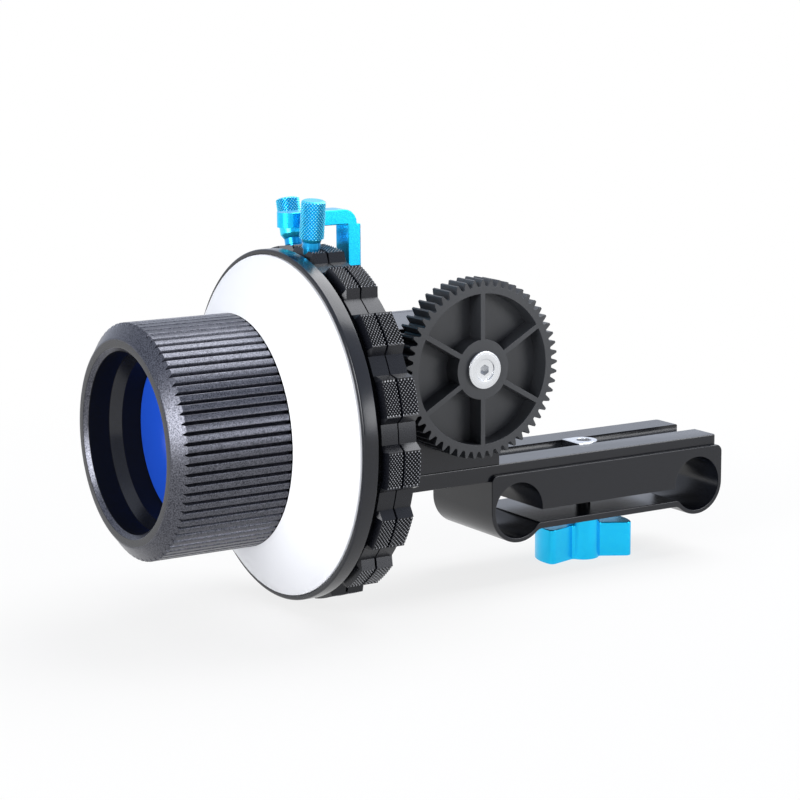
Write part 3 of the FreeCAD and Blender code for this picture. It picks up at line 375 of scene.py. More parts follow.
def plate(name, outlines, low, high, axis, material, edge=0.25, centre=(0, 0, 0)):
    """Plate of closed outlines, the first its border and the rest holes, with broken edges."""
    curve = bpy.data.curves.new(name, "CURVE")
    curve.dimensions = "2D"
    curve.fill_mode = "BOTH"
    curve.extrude = (high - low) / 2 - edge
    curve.bevel_depth = edge
    curve.bevel_resolution = 1
    curve.offset = -edge
    for outline in outlines:
        spline = curve.splines.new("POLY")
        spline.points.add(len(outline) - 1)
        for point, (u, v) in zip(spline.points, outline):
            point.co = (u, v, 0, 1)
        spline.use_cyclic_u = True
    item = bpy.data.objects.new(name, curve)
    scene.collection.objects.link(item)
    view = bpy.context.evaluated_depsgraph_get()
    data = bpy.data.meshes.new_from_object(item.evaluated_get(view))
    bpy.data.objects.remove(item)
    mesh = bmesh.new()
    mesh.from_mesh(data)
    bpy.data.meshes.remove(data)
    # The filled caps come as thin triangles, which would pull the normals of a flat face askew.
    bmesh.ops.remove_doubles(mesh, verts=mesh.verts, dist=WELD)
    bmesh.ops.dissolve_limit(mesh, angle_limit=FLAT, verts=mesh.verts, edges=mesh.edges)
    along = Vector([(low + high) / 2 if letter == axis else 0 for letter in "XYZ"])
    mesh.transform(Matrix.Translation(Vector(centre) + along) @ to_axis(axis))
    piece = to_object(name, mesh, [material])
    flatten(piece)
    return piece


def merge(item, *others):
    """Joins more meshes into a piece."""
    mesh = bmesh.new()
    for part in (item, *others):
        mesh.from_mesh(part.data)
    mesh.to_mesh(item.data)
    mesh.free()
    for other in others:
        bpy.data.objects.remove(other)


def carry(piece, body, slot, *nodes):
    """The piece rides on its body and stands for its CAD nodes; the slot is not used."""
    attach(piece, body)
    if nodes:
        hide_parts(*nodes)


# ---------------------------------------------------------------- hand wheel

GRIP_RADIUS = 29.5
GRIP_RIBS = 75
# Half of one groove: distance from its middle, and depth below the rib's flat top.
GROOVE_SECTION = ((0.0, 1.0), (0.05, 0.93), (0.38, 0.18), (0.45, 0.06), (0.52, 0.01), (0.62, 0.0))
CHAMFER_LENGTH = 0.9
CHAMFER_RISE = 1.2
BACK_CHAMFER_LENGTH = 0.3
BACK_CHAMFER_RISE = 1.05
NOSE_LENGTH = 2.1
FACE_RADIUS = 25.8      # outer edge of the flat front face
MOUTH_LIP = 1.1         # along the axis and across it
BORE_RADIUS = 22.6
STEP_RADIUS = 21.0
STEP_START = -100.9
STEP_END = -98.0
FLOOR_FRONT = -91.5
FLOOR_BACK = -87.0
SHELL_RADIUS = 24.0     # grip's inside behind the floor


def wheel_columns():
    """Angles of the mesh columns, with the groove's depth at each."""
    pitch = TURN / GRIP_RIBS
    columns = []
    for rib in range(GRIP_RIBS):
        for distance, depth in GROOVE_SECTION:
            columns.append((pitch * rib + distance / GRIP_RADIUS, depth))
        columns.append((pitch * (rib + 0.5), 0.0))
        for distance, depth in reversed(GROOVE_SECTION[1:]):
            columns.append((pitch * (rib + 1) - distance / GRIP_RADIUS, depth))
    return columns


def wheel_profile(depth):
    """Nose, grip, inside and bore of a section through the wheel at a groove's depth."""
    front = wheel_low.x
    back = wheel_high.x
    nose_back = front + NOSE_LENGTH
    meet = nose_back + CHAMFER_LENGTH * (1 - depth / CHAMFER_RISE)
    lip = (front + MOUTH_LIP, BORE_RADIUS)
    # The last point of the nose and of the bore only gives a corner its direction.
    nose = rounded([(front, BORE_RADIUS + MOUTH_LIP, 0.3), (front, FACE_RADIUS, 0.9),
                    (nose_back, GRIP_RADIUS - CHAMFER_RISE, 0), (*lip, 0)])[:-1]
    bore = rounded([(FLOOR_FRONT, STEP_RADIUS, 0), (STEP_END, STEP_RADIUS, 0.3),
                    (STEP_START, BORE_RADIUS, 0.4), (*lip, 0.3),
                    (front, BORE_RADIUS + MOUTH_LIP, 0)])[:-1]
    grip = [(meet, GRIP_RADIUS - depth), (back - BACK_CHAMFER_LENGTH, GRIP_RADIUS - depth),
            (back, GRIP_RADIUS - BACK_CHAMFER_RISE)]
    inside = [(back, SHELL_RADIUS), (FLOOR_BACK, SHELL_RADIUS), (FLOOR_BACK, 0.0),
              (FLOOR_FRONT, 0.0)]
    return nose, grip, inside, bore


def hand_wheel():
    columns = wheel_columns()
    nose, grip, inside, bore = wheel_profile(0)
    bore_start = len(nose) + len(grip) + len(inside) - 1
    bore_end = bore_start + len(bore)

    def profile_at(number):
        return sum(wheel_profile(columns[number][1]), [])

    step_row = bore_start + 2 + ARC_PIECES
    finishes = [GRIP_ANODISED, BORE_ANODISED, BLACK_ANODISED]

    def finish(row):
        """The step's cone and the front face are satin, and the rest of the bore is dull."""
        if row == step_row or row <= ARC_PIECES:
            return finishes.index(BLACK_ANODISED)
        return finishes.index(BORE_ANODISED if bore_start <= row < bore_end else GRIP_ANODISED)

    piece = lathe("hand_wheel_turned", profile_at, finishes, "X", (0, AXIS_Y, AXIS_Z),
                  [column[0] for column in columns], finish=finish)
    carry(piece, "wheel", "black_anodised", "hand_wheel")


def wheel_disc():
    low, high = span("wheel_disc")
    radius = (high.z - low.z) / 2
    profile = rounded([(low.x, 0, 0), (low.x, radius, 0.3), (high.x, radius, 0), (high.x, 0, 0)])
    piece = turned("wheel_disc_polished", profile, BLUE_DISC, "X", (0, AXIS_Y, AXIS_Z), 128)
    carry(piece, "wheel", "blue_disc", "wheel_disc")


# ---------------------------------------------------------------- marking ring and hub

MARKING_THICK = 1.6     # along the wheel's axis
HUB_FACE_RADIUS = 23.9
HUB_SHOULDER = -75.0
HUB_WEB = -71.0         # front of the web round the boss
HUB_TAPER_BACK = -61.8
HUB_HOLE_RADIUS = 4.0
HUB_BOSS_RADIUS = 9.0
HUB_BOSS_BACK = -62.0
SLEEVE_RADIUS = 38.5
SLEEVE_INSIDE = 35.5
CLIP_FRONT = -50.0      # groove of the retaining ring
CLIP_BACK = -49.0
CLIP_BOTTOM = 37.6
RIM_FRONT = -65.7
RIM_BACK = -61.6
RIM_WALL = 1.25         # round the marking ring


def marking_ring():
    low, high = span("marking_ring")
    outer = (high.z - low.z) / 2
    profile = rounded([(low.x, GRIP_RADIUS, 0), (high.x - MARKING_THICK, outer, 0.35),
                       (high.x, outer, 0), (low.x + MARKING_THICK, GRIP_RADIUS, 0)])
    piece = turned("marking_ring_moulded", profile, WHITE_ABS, "X", (0, AXIS_Y, AXIS_Z), 192)
    carry(piece, "wheel", "white_plastic", "marking_ring")


def wheel_hub():
    low, high = span("wheel_hub")
    rim = (high.z - low.z) / 2
    ring_back = span("marking_ring")[1].x
    profile = rounded([
        (low.x, 0, 0), (HUB_WEB, 0, 0), (HUB_WEB, HUB_HOLE_RADIUS, 0),
        (HUB_BOSS_BACK, HUB_HOLE_RADIUS, 0), (HUB_BOSS_BACK, HUB_BOSS_RADIUS, 0.5),
        (HUB_WEB, HUB_BOSS_RADIUS, 1.0), (HUB_WEB, HUB_FACE_RADIUS, 1.0),
        (HUB_TAPER_BACK, SLEEVE_INSIDE, 1.0), (high.x, SLEEVE_INSIDE, 0.3),
        (high.x, SLEEVE_RADIUS, 0.3), (CLIP_BACK, SLEEVE_RADIUS, 0), (CLIP_BACK, CLIP_BOTTOM, 0),
        (CLIP_FRONT, CLIP_BOTTOM, 0), (CLIP_FRONT, SLEEVE_RADIUS, 0),
        (RIM_BACK, SLEEVE_RADIUS, 0), (RIM_BACK, rim, 0.35), (RIM_FRONT, rim, 0.45),
        (RIM_FRONT, rim - RIM_WALL, 0.2), (ring_back, rim - RIM_WALL, 0),
        (HUB_SHOULDER, GRIP_RADIUS, 0), (HUB_SHOULDER, HUB_FACE_RADIUS, 0),
        (low.x, HUB_FACE_RADIUS, 0)])
    piece = turned("wheel_hub_turned", profile, BLACK_ANODISED, "X", (0, AXIS_Y, AXIS_Z), 192)
    carry(piece, "wheel", "black_anodised", "wheel_hub")


# ---------------------------------------------------------------- stop rings and thumbscrews

RING_FLAT = 43.0
RING_PAD = 45.2
RING_BORE = 38.54
PADS = 16
PAD_HALF = 5.9          # degrees
PAD_PHASE = 1.3         # degrees, pad's middle past its screw
RAMP = 2.0              # degrees
PAD_COLUMNS = 18
KNURL_ROWS = 9
KNURL_DEPTH = 0.36
SCREW_A_ANGLE = -7.5    # degrees from +Z towards +Y
SCREW_B_ANGLE = 15.0


def ring_columns(first):
    """Angles of one ring's columns, with the height between flat and pad, and whether knurled."""
    columns = []
    for pad in range(PADS):
        middle = first + PAD_PHASE + 360 / PADS * pad
        for i in range(PAD_COLUMNS + 1):
            inside = 0 < i < PAD_COLUMNS
            columns.append((middle - PAD_HALF + 2 * PAD_HALF * i / PAD_COLUMNS, 1.0, inside))
        flat_start = PAD_HALF + RAMP
        flat = 360 / PADS - 2 * flat_start
        for share in (0.0, 0.02, 0.5, 0.98, 1.0):
            columns.append((middle + flat_start + flat * share, 0.0, False))
    return [(math.radians(angle), height, knurl) for angle, height, knurl in columns]


def stop_ring(name, node, body, first, chamfer):
    low, high = span(node)
    columns = ring_columns(first)
    knurl_start = low.x + chamfer + 0.1
    knurl_end = high.x - 0.12

    def profile_at(number):
        height, knurl = columns[number][1:]
        top = RING_FLAT + (RING_PAD - RING_FLAT) * height
        rows = [(low.x, RING_BORE), (low.x, RING_FLAT - 0.15),
                (low.x + chamfer * 0.14, RING_FLAT + 0.3 * height), (low.x + chamfer, top)]
        # Crests take level 1, a painted highlight, and grooves take level -1, painted shade.
        for row in range(KNURL_ROWS + 1):
            along = knurl_start + (knurl_end - knurl_start) * row / KNURL_ROWS
            if not knurl:
                rows.append((along, top))
            elif (number + row) % 2:
                rows.append((along, top, 1.0))
            else:
                rows.append((along, top - KNURL_DEPTH, -1.0))
        return rows + [(high.x, top - 0.15 - KNURL_DEPTH * height), (high.x, RING_BORE)]

    piece = lathe(name, profile_at, [BLACK_KNURLED], "X", (0, AXIS_Y, AXIS_Z),
                  [column[0] for column in columns], knurled=range(4, 4 + KNURL_ROWS))
    carry(piece, body, "black_anodised", node)


def screw_place(node, angle):
    """Frame of a stop screw: its origin on the wheel's axis and its Z along the screw."""
    low, high = span(node.replace("screw", "ring"))
    middle = (low.x + high.x) / 2
    turn = Matrix.Rotation(math.radians(-angle), 4, "X")
    return Matrix.Translation((middle, AXIS_Y, AXIS_Z)) @ turn


HEAD_TOP = 57.7         # from the wheel's axis
HEAD_BOTTOM = 48.2
HEAD_KNURL_TOP = 57.35
HEAD_RADIUS = 3.15
NECK_RADIUS = 2.3
NECK_BOTTOM = 45.5
SHANK_RADIUS = 2.0
SHANK_TIP = 38.8
SCREW_COLUMNS = 44
SCREW_KNURL_STEP = 0.45
SCREW_KNURL_DEPTH = 0.3


def thumbscrew(name, node, body, angle, plain):
    """Knurled thumbscrew whose head is plain over its lowest part."""
    start = HEAD_BOTTOM + plain
    rows = round((HEAD_KNURL_TOP - start) / SCREW_KNURL_STEP)
    # The shank darkens towards the neck, and the neck takes knurl level -1: painted shade under the
    # head.
    below = [(SHANK_TIP, 0.0), (SHANK_TIP, SHANK_RADIUS - 0.3), (SHANK_TIP + 0.3, SHANK_RADIUS),
             (NECK_BOTTOM, SHANK_RADIUS, -1.0), (NECK_BOTTOM, NECK_RADIUS - 0.15, -1.0),
             (NECK_BOTTOM + 0.15, NECK_RADIUS, -1.0), (HEAD_BOTTOM - 1.0, NECK_RADIUS, -1.0)]
    if plain:
        below += [(HEAD_BOTTOM + 0.1, HEAD_RADIUS - 0.1), (HEAD_BOTTOM + 0.3, HEAD_RADIUS - 0.02),
                  (start - 0.12, HEAD_RADIUS - 0.02)]
    else:
        below += [(HEAD_BOTTOM, HEAD_RADIUS - 0.45)]
    above = [(HEAD_TOP - 0.12, HEAD_RADIUS - 0.4), (HEAD_TOP, HEAD_RADIUS - 0.6), (HEAD_TOP, 0.0)]

    def profile_at(number):
        knurl = []
        # Crests take level 1, a painted highlight, and grooves take level -1, painted shade.
        for row in range(rows + 1):
            along = start + (HEAD_KNURL_TOP - start) * row / rows
            if (number + row + len(below)) % 2:
                knurl.append((along, HEAD_RADIUS, 1.0))
            else:
                knurl.append((along, HEAD_RADIUS - SCREW_KNURL_DEPTH, -1.0))
        return below + knurl + above

    piece = lathe(name, profile_at, [BLUE_KNURLED], angles=SCREW_COLUMNS, closed=False,
                  knurled=range(len(below), len(below) + rows), place=screw_place(node, angle))
    carry(piece, body, "blue_anodised", node)


BRACKET_THICK = 3.8
BRACKET_LEG = 3.7
BRACKET_LEDGE = 1.1     # behind the bend


def stop_bracket():
    """Bent bar that the stop screws come up against, with a half-round tip."""
    low, high = span("stop_bracket")
    under = high.z - BRACKET_THICK
    leg_front = high.x - BRACKET_LEG
    bend_back = high.x - BRACKET_LEDGE
    side = rounded([(low.x, high.z, 0), (low.x, under, 0), (leg_front, under, 0.3),
                    (leg_front, low.z, 0.3), (high.x, low.z, 0), (high.x, under, 0.2),
                    (bend_back, under, 0.1), (bend_back, high.z, BRACKET_THICK - 0.3)])
    piece = plate("stop_bracket_milled", [side], low.y, high.y, "Y", BLUE_ANODISED, 0.3)
    half = (high.y - low.y) / 2
    tip = arc((low.x + half, AXIS_Y), half, 90, 270)
    tip += [(low.x + half, low.y - 1), (low.x - 1, low.y - 1),
            (low.x - 1, high.y + 1), (low.x + half, high.y + 1)]
    tool = plate("tip_cutter", [tip], under - 1, high.z + 1, "Z", BLUE_ANODISED, 0.0)
    combine(piece, tool)
    carry(piece, "arm", "blue_anodised", "stop_bracket")


# ---------------------------------------------------------------- drive gear

GEAR_TEETH = 56
GEAR_MODULE = 0.8
GEAR_FACE = 7.8
GEAR_WEB = 2.7
GEAR_RIM = 19.5         # inside of the rim
GEAR_HUB = 7.8
GEAR_BORE = 3.05
GEAR_RIB = 1.4
GEAR_RIBS = 6
FIRST_RIB = 30          # degrees above +X


def gear_outline():
    """Outline with a rounded trapezium for each tooth."""
    pitch = GEAR_TEETH * GEAR_MODULE / 2
    tip = pitch + GEAR_MODULE
    root = pitch - 1.25 * GEAR_MODULE
    # Radius, and the share of a step from the tooth's middle to its flank.
    section = ((root, 0.41), (root + 0.25, 0.335), (pitch, 0.235), (tip - 0.12, 0.125),
               (tip, 0.085))
    points = []
    step = TURN / GEAR_TEETH
    for tooth in range(GEAR_TEETH):
        middle = step * tooth
        sides = [(r, middle - share * step) for r, share in section]
        sides += [(r, middle + share * step) for r, share in reversed(section)]
        points += [(r * math.cos(a), r * math.sin(a)) for r, a in sides]
    return points


def gear_pockets():
    """Six sectors between hub, rim and ribs."""
    pockets = []
    for rib in range(GEAR_RIBS):
        start = math.radians(FIRST_RIB) + TURN * rib / GEAR_RIBS
        end = start + TURN / GEAR_RIBS
        path = []
        for radius, first, last in ((GEAR_HUB, end, start), (GEAR_RIM, start, end)):
            trim = math.asin(GEAR_RIB / 2 / radius) * (1 if last > first else -1)
            for i in range(17):
                angle = first + trim + (last - first - 2 * trim) * i / 16
                path.append((radius * math.cos(angle), radius * math.sin(angle)))
        pockets.append(path)
    return pockets


def drive_gear():
    centre = (GEAR_X, 0, GEAR_Z)
    front = gear_low.y
    back = front + GEAR_FACE
    outlines = [gear_outline(), circle((0, 0), GEAR_BORE)] + gear_pockets()
    piece = plate("drive_gear_moulded", outlines, front, back, "Y", BLACK_NYLON, 0.16, centre)
    web = plate("gear_web", [circle((0, 0), GEAR_RIM + 0.4, 96), circle((0, 0), 4.0)],
                back - GEAR_WEB, back - 0.3, "Y", BLACK_NYLON, 0.05, centre)
    merge(piece, web)
    carry(piece, "drive", "black_nylon", "drive_gear")


def hex_socket(name, place, across, depth):
    """Six-sided cutter whose mouth is at the place's origin and which runs down its -Z."""
    reach = across / 2 / math.cos(math.pi / 6)
    mesh = bmesh.new()
    bmesh.ops.create_cone(mesh, cap_ends=True, segments=6, radius1=reach, radius2=reach,
                          depth=depth * 2)
    mesh.transform(place)
    return to_object(name, mesh, [BLACK_OXIDE])


GEAR_SCREW_HEAD = 1.0
GEAR_SCREW_HEAD_RADIUS = 4.9
GEAR_SCREW_SHANK = 2.0
GEAR_SCREW_DISH = 0.35
GEAR_SCREW_DISH_RADIUS = 2.85


def gear_screw():
    low, high = span("gear_screw")
    place = Matrix.Translation((GEAR_X, low.y, GEAR_Z)) @ to_axis("Y")
    tip = low.y - high.y
    profile = [(tip, 0), (tip, GEAR_SCREW_SHANK), (-GEAR_SCREW_HEAD, GEAR_SCREW_SHANK)]
    profile += rounded([(-GEAR_SCREW_HEAD, GEAR_SCREW_SHANK, 0),
                        (-GEAR_SCREW_HEAD, GEAR_SCREW_HEAD_RADIUS, 0.1),
                        (0, GEAR_SCREW_HEAD_RADIUS, 0.25), (0, GEAR_SCREW_DISH_RADIUS, 0.1),
                        (-GEAR_SCREW_DISH, GEAR_SCREW_DISH_RADIUS - 0.15, 0.1),
                        (-GEAR_SCREW_DISH, 0, 0)])[1:]
    piece = turned("gear_screw_turned", profile, TURNED_STEEL, place=place)
    dish = place @ Matrix.Translation((0, 0, -GEAR_SCREW_DISH))
    combine(piece, hex_socket("socket", dish, 2.5, 1.9))
    carry(piece, "drive", "steel", "gear_screw")


# ---------------------------------------------------------------- gearbox and small screws

CAP_LENGTH = 6.0
CAP_SHANK = 1.5
CAP_HEAD = 1.8
CAP_HEAD_RADIUS = 2.75
BOX_WALL = 3.0
BEARING_WALL = 5.0      # towards the wheel, and under the gears
SCREW_INSET = 4.5
NECK_HOLE = 8.05
BOX_NECK = 11.0


def cap_screws(name, node, body, places, turn):
    """Socket screws of one size, all in one piece."""
    pieces = []
    for number, centre in enumerate(places):
        place = Matrix.Translation(centre) @ turn
        profile = rounded([(-CAP_LENGTH, 0, 0), (-CAP_LENGTH, CAP_SHANK, 0.2),
                           (-CAP_HEAD, CAP_SHANK, 0), (-CAP_HEAD, CAP_HEAD_RADIUS, 0.05),
                           (0, CAP_HEAD_RADIUS, 0.35), (0, 0, 0)])
        screw = turned("%s_%d" % (name, number), profile, BLACK_OXIDE, angles=32, place=place)
        combine(screw, hex_socket("socket", place, 2.0, 1.1))
        pieces.append(screw)
    merge(*pieces)
    pieces[0].name = name
    carry(pieces[0], body, "black_steel", node)


def gearbox():
    low, high = span("gearbox_housing")
    cover_low, cover_high = span("gearbox_cover")
    left, right = cover_low.x, cover_high.x
    bottom, top = cover_low.z, cover_high.z
    side = [(left, bottom), (right, bottom), (right, top), (left, top)]
    screws = [(x, z) for x in (left + SCREW_INSET, right - SCREW_INSET)
              for z in (bottom + SCREW_INSET, top - SCREW_INSET)]
    inner = [(left + BEARING_WALL, bottom + BEARING_WALL),
             (right - BOX_WALL, bottom + BEARING_WALL),
             (right - BOX_WALL, top - BOX_WALL), (left + BEARING_WALL, top - BOX_WALL)]
    shaft = circle((GEAR_X, GEAR_Z), 3.2)
    wall = plate("gearbox_housing_milled", [side, shaft], low.y, low.y + BOX_WALL, "Y",
                 BLACK_ANODISED, 0.3)
    # The plates overlap, so that no seam shows between them.
    body = plate("gearbox_walls", [side, inner], low.y + BOX_WALL - 0.6, high.y, "Y",
                 BLACK_ANODISED, 0.3)
    neck_profile = rounded([(low.x, NECK_HOLE, 0.3), (low.x, BOX_NECK, 0.4),
                            (left + 0.5, BOX_NECK, 0), (left + 0.5, NECK_HOLE, 0)])
    neck = turned("gearbox_neck", neck_profile, BLACK_ANODISED, "X", (0, AXIS_Y, AXIS_Z))
    merge(wall, body, neck)
    carry(wall, "arm", "black_anodised", "gearbox_housing")
    cover = plate("gearbox_cover_milled", [side] + [circle(place, 2.85, 32) for place in screws],
                  cover_low.y, cover_high.y, "Y", BLACK_ANODISED, 0.3)
    carry(cover, "arm", "black_anodised", "gearbox_cover")
    cap_screws("cover_screws_socket", "cover_screws", "arm",
               [(x, cover_high.y - 0.1, z) for x, z in screws],
               Matrix.Rotation(-math.pi / 2, 4, "X"))


def bracket_screws():
    low, high = span("bracket_screws")
    heights = (low.z + CAP_HEAD_RADIUS, high.z - CAP_HEAD_RADIUS)
    cap_screws("bracket_screws_socket", "bracket_screws", "arm",
               [(low.x, AXIS_Y, z) for z in heights], Matrix.Rotation(-math.pi / 2, 4, "Y"))


# ---------------------------------------------------------------- slide bar, clamp, nut and knob

CHANNEL_HALF = 4.2
CHANNEL_DEPTH = 2.5
CHANNEL_START = -8.5
SLOT_HALF = 2.6
SLOT_START = 0.0
SLOT_END = 62.0
NUT_PLAY = 0.04         # nut's underside above the channel's floor
STUD_HOLE = 2.04        # radius


def slide_bar():
    """Milled bar with a channel along its top, open at the right, and a slot through its floor."""
    low, high = span("slide_bar")
    border = rounded([(low.x, low.y, 0.4), (high.x, low.y, 1.0), (high.x, high.y, 1.0),
                      (low.x, high.y, 0.4)])
    middle = (low.y + high.y) / 2
    piece = plate("slide_bar_milled", [border], low.z, high.z, "Z", BLACK_ANODISED, 0.35)
    channel = arc((CHANNEL_START + CHANNEL_HALF, middle), CHANNEL_HALF, 90, 270)
    channel += [(high.x + 1, middle - CHANNEL_HALF), (high.x + 1, middle + CHANNEL_HALF)]
    floor_z = high.z - CHANNEL_DEPTH
    tool = plate("channel", [channel], floor_z, high.z + 1, "Z", BLACK_ANODISED, 0.0)
    combine(piece, tool)
    slot = arc((SLOT_START + SLOT_HALF, middle), SLOT_HALF, 90, 270)
    slot += arc((SLOT_END - SLOT_HALF, middle), SLOT_HALF, -90, 90)
    tool = plate("slot", [slot], low.z - 1, high.z, "Z", BLACK_ANODISED, 0.0)
    combine(piece, tool)
    carry(piece, "arm", "black_anodised", "slide_bar")


LOBE = 8.69             # clamp's outside round a rod
ROD = 7.5
ROD_SPACING = 60.0
WEB_BOTTOM = -5.9
WEB_TOP = -4.1
JAW = -0.7
THROAT = 3.0            # outer curve from lobe to web
MOUTH = 1.6             # inner curve from bore to slit
CLAMP_CORNER = 2.0
SEAT_LIP = 1.1          # beside the bar
SEAT_LIP_HEIGHT = 1.7


def mirrored(points):
    """The same run at the far rod, in reverse order."""
    return [(ROD_SPACING - u, v) for u, v in reversed(points)]


def clamp_border():
    top = clamp_high.z
    throat_z = WEB_BOTTOM - THROAT
    throat_x = math.sqrt((LOBE + THROAT) ** 2 - throat_z ** 2)
    meet = math.degrees(math.atan2(throat_z, throat_x))
    left = arc((CLAMP_CORNER - LOBE, top - CLAMP_CORNER), CLAMP_CORNER, 90, 180, 8)
    left += arc((0, 0), LOBE, 180, 360 + meet, 40)
    left += arc((throat_x, throat_z), THROAT, 180 + meet, 90, 12)
    return left + mirrored(left)


def clamp_opening():
    """Both rod bores and the slit between them."""
    mouth_z = WEB_TOP - MOUTH
    mouth_x = math.sqrt((ROD + MOUTH) ** 2 - mouth_z ** 2)
    meet = math.degrees(math.atan2(mouth_z, mouth_x))
    jaw = math.degrees(math.asin(JAW / ROD))
    left = arc((0, 0), ROD, jaw, 360 + meet, 64)
    left += arc((mouth_x, mouth_z), MOUTH, 180 + meet, 90, 8)
    return left + mirrored(left)


def rod_clamp():
    low, high = clamp_low, clamp_high
    piece = plate("rod_clamp_milled", [clamp_border(), clamp_opening()], low.y, high.y, "Y",
                  BLACK_ANODISED, 0.28)
    seat = [(low.x - 1, low.y + SEAT_LIP), (high.x + 1, low.y + SEAT_LIP),
            (high.x + 1, high.y - SEAT_LIP), (low.x - 1, high.y - SEAT_LIP)]
    seat_z = high.z - SEAT_LIP_HEIGHT
    combine(piece, plate("seat", [seat], seat_z, high.z + 1, "Z", BLACK_ANODISED, 0.0))
    hole = [circle((KNOB_X, KNOB_Y), STUD_HOLE)]
    combine(piece, plate("hole", hole, WEB_BOTTOM - 1, high.z, "Z", BLACK_ANODISED, 0.0))
    carry(piece, "clamp", "black_anodised", "rod_clamp")


def t_nut():
    low, high = span("t_nut")
    half = (high.y - low.y) / 2
    border = arc((high.x - half, KNOB_Y), half, -90, 90)
    border += [(low.x, high.y), (low.x, low.y)]
    hole = circle((KNOB_X, KNOB_Y), STUD_HOLE, 32)
    piece = plate("t_nut_milled", [border, hole], low.z + NUT_PLAY, high.z, "Z", NICKEL, 0.25)
    carry(piece, "clamp", "steel", "t_nut")


KNOB_RADIUS = 13.5
KNOB_ANGLE = -8.0       # degrees from the X axis
KNOB_TOP = -10.2
KNOB_CORNER = 1.4
KNOB_FILLET = 0.9
WING_FLARE = 23.0       # degrees
WAIST_HALF = (4.0, 2.0)
NECK = 4.5


def knob_quarter():
    """From the middle of a wing's end round its corner and down to the neck."""
    flare = math.radians(WING_FLARE)
    along = Vector((math.cos(flare), math.sin(flare)))
    normal = Vector((-math.sin(flare), math.cos(flare)))
    offset = Vector(WAIST_HALF).dot(normal)

    def tangent_centre(distance, height):
        return normal * height + along * math.sqrt(distance ** 2 - height ** 2)

    corner = tangent_centre(KNOB_RADIUS - KNOB_CORNER, offset - KNOB_CORNER)
    fillet = tangent_centre(NECK + KNOB_FILLET, offset + KNOB_FILLET)
    corner_angle = math.degrees(math.atan2(corner.y, corner.x))
    fillet_angle = math.degrees(math.atan2(fillet.y, fillet.x))
    points = arc((0, 0), KNOB_RADIUS, 0, corner_angle, 12)
    points += arc(corner, KNOB_CORNER, corner_angle, 90 + WING_FLARE, 8)
    points += arc(fillet, KNOB_FILLET, WING_FLARE - 90, fillet_angle - 180, 8)
    return points + arc((0, 0), NECK, fillet_angle, 90, 8)


def wing_knob():
    """Disc notched in front and behind, so that two flared wings are left beside the neck."""
    quarter = knob_quarter()
    half = quarter + [(-u, v) for u, v in reversed(quarter)]
    turn = Matrix.Rotation(math.radians(KNOB_ANGLE), 2)
    border = [tuple(turn @ Vector(point)) for point in half + [(-u, -v) for u, v in half]]
    piece = plate("wing_knob_milled", [border], knob_low.z, KNOB_TOP, "Z", BLUE_ANODISED, 0.35,
                  (KNOB_X, KNOB_Y, 0))
    neck_profile = rounded([(KNOB_TOP - 0.5, 0, 0), (KNOB_TOP - 0.5, NECK, 0),
                            (knob_high.z, NECK, 0.3), (knob_high.z, 0, 0)])
    neck = turned("neck", neck_profile, BLUE_ANODISED, "Z", (KNOB_X, KNOB_Y, 0), 48)
    merge(piece, neck)
    carry(piece, "knob", "blue_anodised", "wing_knob")


# ---------------------------------------------------------------- nodes that keep their CAD shape

KEPT = {
    BRIGHT_STEEL: ("clamp_washer", "main_bearing_outer", "main_bearing_inner", "main_shaft",
                   "shaft_collar", "input_bevel_gear", "idler_shaft", "idler_bevel_gear",
                   "idler_spur_gear", "output_shaft", "output_spur_gear", "gear_spacer"),
    BRONZE: ("idler_bush_front", "idler_bush_rear", "output_bush_front", "output_bush_rear"),
    BLACK_OXIDE: ("clamp_stud", "bar_screws", "wheel_screws", "hub_screw", "ring_retainer"),
    BLACK_NYLON: ("friction_washer",),
}


def dress_kept_nodes():
    for material, nodes in KEPT.items():
        for node in nodes:
            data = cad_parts[node].data
            data.materials.clear()
            data.materials.append(material)


# ---------------------------------------------------------------- studio

CAMERA_PLACE = (-346.641, -500.124, 142.320)
CAMERA_YAW = 0.55437        # from +Y towards +X, radians
CAMERA_PITCH = 0.18277      # downwards
CAMERA_ROLL = -0.00688
LENS = 105.9
FLOOR_WIDTH = 40.0          # metres
FLOOR_GLOSS = 1.0           # white share that mirrored rays see
SHADOW_REACH = (0.1, 0.32)  # metres, where the floor's shadow starts and ends to fade
ROOM_FRONT = (-0.56, -0.8, 0.2)
ROOM_DIM = 0.35             # level towards the room's open front
WORLD_DIFFUSE = 0.35        # share of the room's light that lights the unit


def camera():
    data = bpy.data.cameras.new("camera")
    data.lens = LENS
    data.sensor_width = 36.0
    data.clip_start = 0.01
    item = bpy.data.objects.new("camera", data)
    turn = Matrix.Rotation(-CAMERA_YAW, 4, "Z")
    turn = turn @ Matrix.Rotation(math.pi / 2 - CAMERA_PITCH, 4, "X")
    turn = turn @ Matrix.Rotation(CAMERA_ROLL, 4, "Z")
    item.matrix_world = Matrix.Translation(Vector(CAMERA_PLACE) * MM) @ turn
    scene.collection.objects.link(item)
    scene.camera = item


def lamp(name, place, width, height, power):
    """Soft box that points at the middle of the unit. Its place and size are in metres."""
    data = bpy.data.lights.new(name, "AREA")
    data.shape = "RECTANGLE"
    data.size = width
    data.size_y = height
    data.energy = power
    item = bpy.data.objects.new(name, data)
    aim = Vector((-0.02, 0.015, 0.03)) - Vector(place)
    turn = aim.to_track_quat("-Z", "Y").to_matrix().to_4x4()
    item.matrix_world = Matrix.Translation(place) @ turn
    scene.collection.objects.link(item)


def seen(tree, glossy):
    """1 for camera and transmission rays, and a share for glossy ones."""
    path = add(tree, "LightPath")
    share = add(tree, "Math", {0: path.outputs["Is Glossy Ray"], 1: glossy}, operation="MULTIPLY")
    first = add(tree, "Math", {0: path.outputs["Is Camera Ray"], 1: share.outputs[0]},
                operation="MAXIMUM")
    return add(tree, "Math", {0: first.outputs[0], 1: path.outputs["Is Transmission Ray"]},
               operation="MAXIMUM").outputs[0]


